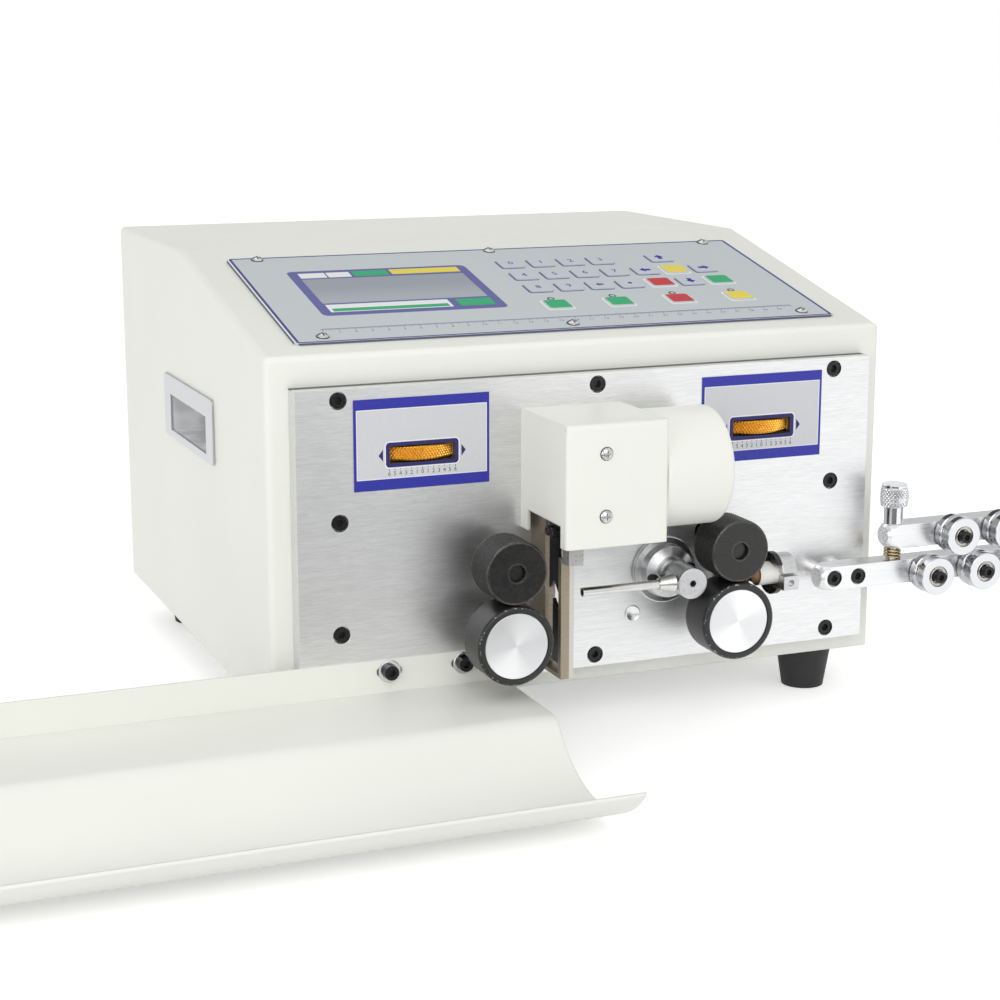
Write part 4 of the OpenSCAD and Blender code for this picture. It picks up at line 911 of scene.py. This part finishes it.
# %% A tree that knurls a cylinder
def knurl_tree():
    g = Growth("diamond_knurl", Radius=float, Length=float, Height=float, Crown=float, Around=int, Rows=int)
    index = g.node("GeometryNodeInputIndex")
    around, rows = g.given("Around"), g.given("Rows")
    row = (index / around).floor()
    turn = (index % around + 0.5 * (row % 2)) / around * math.tau
    along = (row + 0.5) / rows - 0.5
    radius = g.given("Radius") - g.given("Crown") * along * along * 4
    spot = g.xyz(radius * turn.cosine(), radius * turn.sine(), along * g.given("Length"))
    points = g.node("GeometryNodePoints", {}, {"Count": around * rows, "Position": spot})
    tooth = g.node("GeometryNodeMeshCone", {"fill_type": "NGON"},
                   {"Vertices": 4, "Radius Top": 0.0, "Radius Bottom": 1.0, "Depth": 1.0})
    size = g.xyz(g.given("Length") / rows, radius * math.pi / around, g.given("Height"))
    placed = {"Points": points, "Instance": tooth, "Rotation": g.xyz(0, math.pi / 2, turn), "Scale": size}
    return g.end(g.node("GeometryNodeInstanceOnPoints", {}, placed))


knurl = knurl_tree()
print("tree", knurl.name, "with", len(knurl.nodes), "nodes")

# %% Knurl the wheels, the rollers and the knob
WHEEL_R, WHEEL_T, WHEEL_Y = 30, 8.5, 16.5
PRESS_Z, PRESS_R, ROLLER_LEN = 88, 18.6, 25
KNOB_X, KNOB_Y, KNOB_FOOT, KNOB_R = 196, -30.5, 88.25, 8.2
KNOB_MID, KNOB_LEN = 16.8, 11.4
knurl_black = plain("knurled_black_steel", (0.055, 0.053, 0.051), (0.024, 0.023, 0.022), 700, 0.26, 0.00001,
                    Metallic=0.6)
knurl_chrome = plain("knurled_chrome", (0.84, 0.845, 0.86), (0.64, 0.645, 0.66), 700, 0.16, 0.000004,
                     Metallic=1.0)
for side, name in SIDES:
    wheel = Matrix.Translation(at(side * WHEEL_X, WHEEL_Y, WHEEL_Z))
    grown(f"{name}_wheel_knurl", knurl, f"{name}_gap_wheel", "gold_anodised", wheel,
          Radius=(WHEEL_R - 0.08) * MM, Length=(WHEEL_T - 1.6) * MM, Height=0.0009, Crown=0.0,
          Around=96, Rows=5, Finish=knurl_gold)
    middle = at(side * ROLLER_X, ROLLER_Y0 + ROLLER_LEN / 2, PRESS_Z)
    lie = Matrix.Translation(middle) @ Matrix.Rotation(math.pi / 2, 4, "X")
    grown(f"{name}_roller_knurl", knurl, f"{name}_pressure", "black_steel", lie,
          Radius=(PRESS_R - 0.06) * MM, Length=(ROLLER_LEN - 2.6) * MM, Height=0.00036, Crown=0.0,
          Around=80, Rows=24, Finish=knurl_black)
knob = Matrix.Translation(at(KNOB_X, KNOB_Y, KNOB_FOOT + KNOB_MID))
grown("knob_knurl", knurl, "knob", "bright_steel", knob, Radius=(KNOB_R - 0.1) * MM, Length=KNOB_LEN * MM,
      Height=0.0010, Crown=0.00065, Around=24, Rows=9, Finish=knurl_chrome)

# %% [markdown]
# ## Spring
# Between the two bars of the straightener a short spring on the screw lifts the upper bar.

# %% A tree that winds a spring
def spring_tree():
    g = Growth("wound_spring", Radius=float, Wire=float, Height=float, Turns=float)
    inputs = {"Resolution": 28, "Rotations": g.given("Turns"), "Start Radius": g.given("Radius"),
              "End Radius": g.given("Radius"), "Height": g.given("Height")}
    line = g.node("GeometryNodeCurveSpiral", {}, inputs)
    wire = g.node("GeometryNodeCurvePrimitiveCircle", {}, {"Resolution": 10, "Radius": g.given("Wire")})
    swept = {"Curve": line, "Profile Curve": wire, "Fill Caps": True}
    return g.end(g.node("GeometryNodeCurveToMesh", {}, swept))


BAR_LOW, BAR_HIGH, SPRING_GAP = 65.75, 73.25, 0.8
spring = grown("straightener_spring", spring_tree(), "machine", "bright_steel",
               Matrix.Translation(at(KNOB_X, KNOB_Y, BAR_LOW + SPRING_GAP)), Radius=4.9 * MM, Wire=0.7 * MM,
               Height=(BAR_HIGH - BAR_LOW - 2 * SPRING_GAP) * MM, Turns=3.0, Finish=brass)
spring.data.shade_smooth()
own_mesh(spring)

# %% [markdown]
# ## Turned pieces
# Bearing shields, washers, the rims of the black rollers, the plug in the plate and the small screws
# come from a lathe. The lighter steel of the rollers' rims and hubs is a painted highlight. So one
# function spins a profile round an axis: a closed line of points, each with a radius and a place along
# Y. A point with a third number, 6, lies on a hexagon, which makes the socket of a screw. `put` turns
# the axis for the blade's screws, which point to the left.

# %% A function that turns a profile
def turned(name, profile, x, z, finish, body, steps=48, put=None):
    """A closed profile of (radius, y) in millimetres, turned about an axis along Y."""
    put = put or (lambda a, y, b: at(x + a, y, z + b))
    work = bmesh.new()
    turns = [math.tau * i / steps for i in range(steps)]
    flat = [math.cos(math.pi / 6) / math.cos(t % (math.pi / 3) - math.pi / 6) for t in turns]
    rows = []
    for r, y, *corners in profile:
        reach = [r * share if corners else r for share in flat]
        row = [work.verts.new(put(a * math.cos(t), y, a * math.sin(t))) for a, t in zip(reach, turns)]
        rows.append(row)
    for a, b in zip(rows, rows[1:] + rows[:1]):
        for i in range(steps):
            work.faces.new((a[i], a[(i + 1) % steps], b[(i + 1) % steps], b[i]))
    mesh = bpy.data.meshes.new(name)
    close_up(work, mesh, 1e-7)
    mesh.materials.append(finish)
    mesh.shade_smooth()
    mesh.set_sharp_from_angle(angle=math.radians(35))
    add_piece(name, mesh, body)


def moved(profile, y):
    """A profile with its places along the axis counted from y."""
    return [(r, y + step) for r, step in profile]


print("lathe ready")

# %% Shields, washers, rims and plug
GUIDE_PITCH, FIRST_ROLLER_X, LOWER_ROW_Z, UPPER_ROW_Z = 35.2, 215.7, 56.95, 80.95
LOWER_STEPS, UPPER_STEPS = (0, 1, 2), (0.5, 1.5)
TRAY_SCREW_X, TRAY_SCREW_Z, TRAY_T = (-132.4, -86), 24.2, 1.5
PLUG_X, PLUG_Z = 24.7, 42.5
shield = [(3.9, 0), (4.6, -0.3), (4.9, -0.05), (5.8, -0.05), (6.0, -0.4), (6.5, -0.4), (6.5, 0.1), (3.9, 0.1)]
washer = [(4.45, 0), (4.45, -1.1), (6.4, -1.1), (6.8, -0.7), (6.8, 0)]
rim = [(17.3, 1), (17.3, -0.05), (17.6, -0.06), (18.13, 0.08), (18.36, 0.24), (18.52, 0.47), (18.66, 1)]
hub = [(5.02, 1.6), (5.5, -0.05), (6.1, -0.05), (6.1, 1.6)]
plug = [(0.001, 0), (0.001, -0.5), (3.9, -0.55), (4.4, -0.9), (5.0, -0.7), (5.2, 0)]
# Painted highlight and shadow: this lighter steel stands for the highlight on the black rollers' rims and hubs
# and on the blade's screws, and round the guard's screws it is a painted shadow.
rim_steel = plain("worn_rim_steel", (0.11, 0.108, 0.105), (0.06, 0.058, 0.056), 500, 0.16, 0.000004,
                  Metallic=0.9)
shield_front = WIRE_Y - GUIDE_LEN / 2 + 1.15
spots = [(step, LOWER_ROW_Z) for step in LOWER_STEPS] + [(step, UPPER_ROW_Z) for step in UPPER_STEPS]
for n, (step, z) in enumerate(spots):
    turned(f"bearing_shield_{n + 1}", moved(shield, shield_front), FIRST_ROLLER_X + GUIDE_PITCH * step, z,
           bearing_steel, f"roller_{n + 1}")
for n, x in enumerate(TRAY_SCREW_X):
    turned(f"tray_washer_{n + 1}", moved(washer, PLATE_Y - TRAY_T), x, TRAY_SCREW_Z, chrome, "machine")
for side, name in SIDES:
    for ring, profile in (("rim", rim), ("hub", hub)):
        turned(f"{name}_roller_{ring}", moved(profile, ROLLER_Y0), side * ROLLER_X, PRESS_Z, rim_steel,
               f"{name}_pressure", 72)
turned("plate_plug", moved(plug, PLATE_Y), PLUG_X, PLUG_Z, bar_alu, "machine")
print("turned 5 shields, 2 washers, 4 rings and a plug")

# %% Screws of the flange, the boss, the blade and the guard
def socket_head(name, x, z, front, r, key, depth, back, body, finish=screw_steel, put=None):
    """A socket screw that faces the front: a head of radius r with a hexagon of radius key."""
    profile = [(0.001, front + depth), (key, front + depth, 6), (key, front, 6), (r - 0.25, front),
               (r, front + 0.25), (r, back), (0.001, back)]
    turned(name, profile, x, z, finish, body, put=put)


SWING_X, WIRE_Z, BOSS_FRONT = 44.5, 68.95, -53
FLANGE_SCREW_R, FLANGE_SCREW_TURNS = 12.5, (12, 192)
BLADE_SCREW_Z, BLADE_SCREW_GAP = WIRE_Z + 38, 3.2
GUARD_SCREW_X, GUARD_SCREW_Z = -24.8, (121, 157)
guard_shadow_ring = [(3.6, 0), (3.6, -0.15), (3.95, -0.1), (4.0, 0)]
for n, turn in enumerate(FLANGE_SCREW_TURNS):
    x = SWING_X + FLANGE_SCREW_R * math.cos(math.radians(turn))
    z = WIRE_Z + FLANGE_SCREW_R * math.sin(math.radians(turn))
    socket_head(f"flange_screw_{n + 1}", x, z, PLATE_Y - 14.4, 3.0, 1.7, 1.3, PLATE_Y - 9.6, "machine")
socket_head("boss_grub_screw", SWING_X, WIRE_Z, BOSS_FRONT + 0.6, 1.88, 1.15, 1.6, BOSS_FRONT + 3.9,
            "swing_guide")
# Painted highlight: the blade's screws are in the lighter rim steel.
for n, y in enumerate((WIRE_Y - BLADE_SCREW_GAP, WIRE_Y + BLADE_SCREW_GAP)):
    socket_head(f"blade_screw_{n + 1}", 0, 0, BLADE_X - 3.4, 2.95, 1.6, 1.5, BLADE_X - 0.05, "upper_cutter",
                rim_steel, lambda a, x, b, y=y: at(x, y + a, BLADE_SCREW_Z + b))
guard_front = (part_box("cutter_guard")[0].y - datum.y) / MM
# Painted shadow: a dark ring round each of the guard's screws.
for n, z in enumerate(GUARD_SCREW_Z):
    turned(f"guard_screw_rim_{n + 1}", moved(guard_shadow_ring, guard_front), GUARD_SCREW_X, z, rim_steel, "machine")
print("turned 5 socket screws and 2 painted shadow rings of guard screws")

# %% [markdown]
# ## Stage
# The photograph shows the machine on white. A pale floor catches a soft shadow. The world is white for
# the camera, for reflections and through glass, and a plain soft light for everything else. Large
# lamps give the faces their slight difference. Grey cards that only reflections see draw the metal.

# %% Floor
FLOOR_REACH, FLOOR_GLOW, FLOOR_DROP = 6.0, 0.42, 0.0002
floor_mesh = bpy.data.meshes.new("floor")
corners = [(x * FLOOR_REACH, y * FLOOR_REACH, 0) for x, y in ((-1, -1), (1, -1), (1, 1), (-1, 1))]
floor_mesh.from_pydata(corners, [], [(0, 1, 2, 3)])
floor = bpy.data.objects.new("floor", floor_mesh)
bpy.context.collection.objects.link(floor)
paper = Finish("floor_paper", Base_Color=(0.93, 0.93, 0.93), Roughness=0.9)
paper.grain(paper.noise(size=400, detail=2), 0.00002)
seen = paper.seen_directly()
glow = paper.node("ShaderNodeEmission", {}, {"Color": (1, 1, 1, 1), "Strength": seen * FLOOR_GLOW})
both = paper.node("ShaderNodeAddShader", {}, {0: Wire(paper, paper.shader.outputs[0]), 1: glow})
paper.put(paper.tree.nodes["Material Output"].inputs["Surface"], both)
floor_mesh.materials.append(paper.material)
floor.location.z = cad_box[0].z - FLOOR_DROP
print("floor at", round(floor.location.z, 4))

# %% World and lamps
world = bpy.data.worlds.new("studio")
world.use_nodes = True
bpy.context.scene.world = world
sky = Net(world.node_tree)
LIGHT = 0.75
background = world.node_tree.nodes["Background"]
background.inputs["Color"].default_value = (1, 1, 1, 1)
sky.put(background.inputs["Strength"], LIGHT + (1 - LIGHT) * sky.seen_directly())


def lamp(name, spot, aim, size, power):
    data = bpy.data.lights.new(name, "AREA")
    data.size, data.energy = size, power
    made = bpy.data.objects.new(name, data)
    made.location = spot
    made.rotation_euler = (Vector(aim) - Vector(spot)).to_track_quat("-Z", "Y").to_euler()
    bpy.context.collection.objects.link(made)


lamp("key_lamp", (-0.3, -2.0, 1.3), (0, -0.05, 0.1), 1.4, 11.6)
lamp("left_lamp", (-1.5, -1.2, 0.6), (-0.05, -0.1, 0.12), 0.8, 4.5)
lamp("top_lamp", (0, 0.5, 2.2), (0, 0.1, 0.2), 1.6, 2.5)


def grey_card(name, corners, tone):
    """A card that shows only in reflections, so that bright metal has something darker to mirror."""
    mesh = bpy.data.meshes.new(name)
    mesh.from_pydata(corners, [], [(0, 1, 2, 3)])
    mesh.materials.append(Finish(name, Base_Color=(tone, tone, tone), Roughness=1.0).material)
    made = bpy.data.objects.new(name, mesh)
    bpy.context.collection.objects.link(made)
    made.visible_camera = made.visible_diffuse = made.visible_shadow = made.visible_transmission = False


grey_card("front_card", [(-0.6, -1.9, 0.001), (0.52, -1.9, 0.001), (0.27, -0.40, 0.001), (-0.6, -0.40, 0.001)],
          0.20)
grey_card("left_card", [(-1.6, -1.0, 0.5), (-1.6, 1.2, 0.5), (-1.6, 1.2, 1.9), (-1.6, -1.0, 1.9)], 0.06)
grey_card("back_card", [(-1.6, 2.4, 1.0), (2.6, 2.4, 1.0), (2.6, 2.4, 3.2), (-1.6, 2.4, 3.2)], 0.14)
scene = bpy.context.scene
scene.view_settings.view_transform = "Standard"
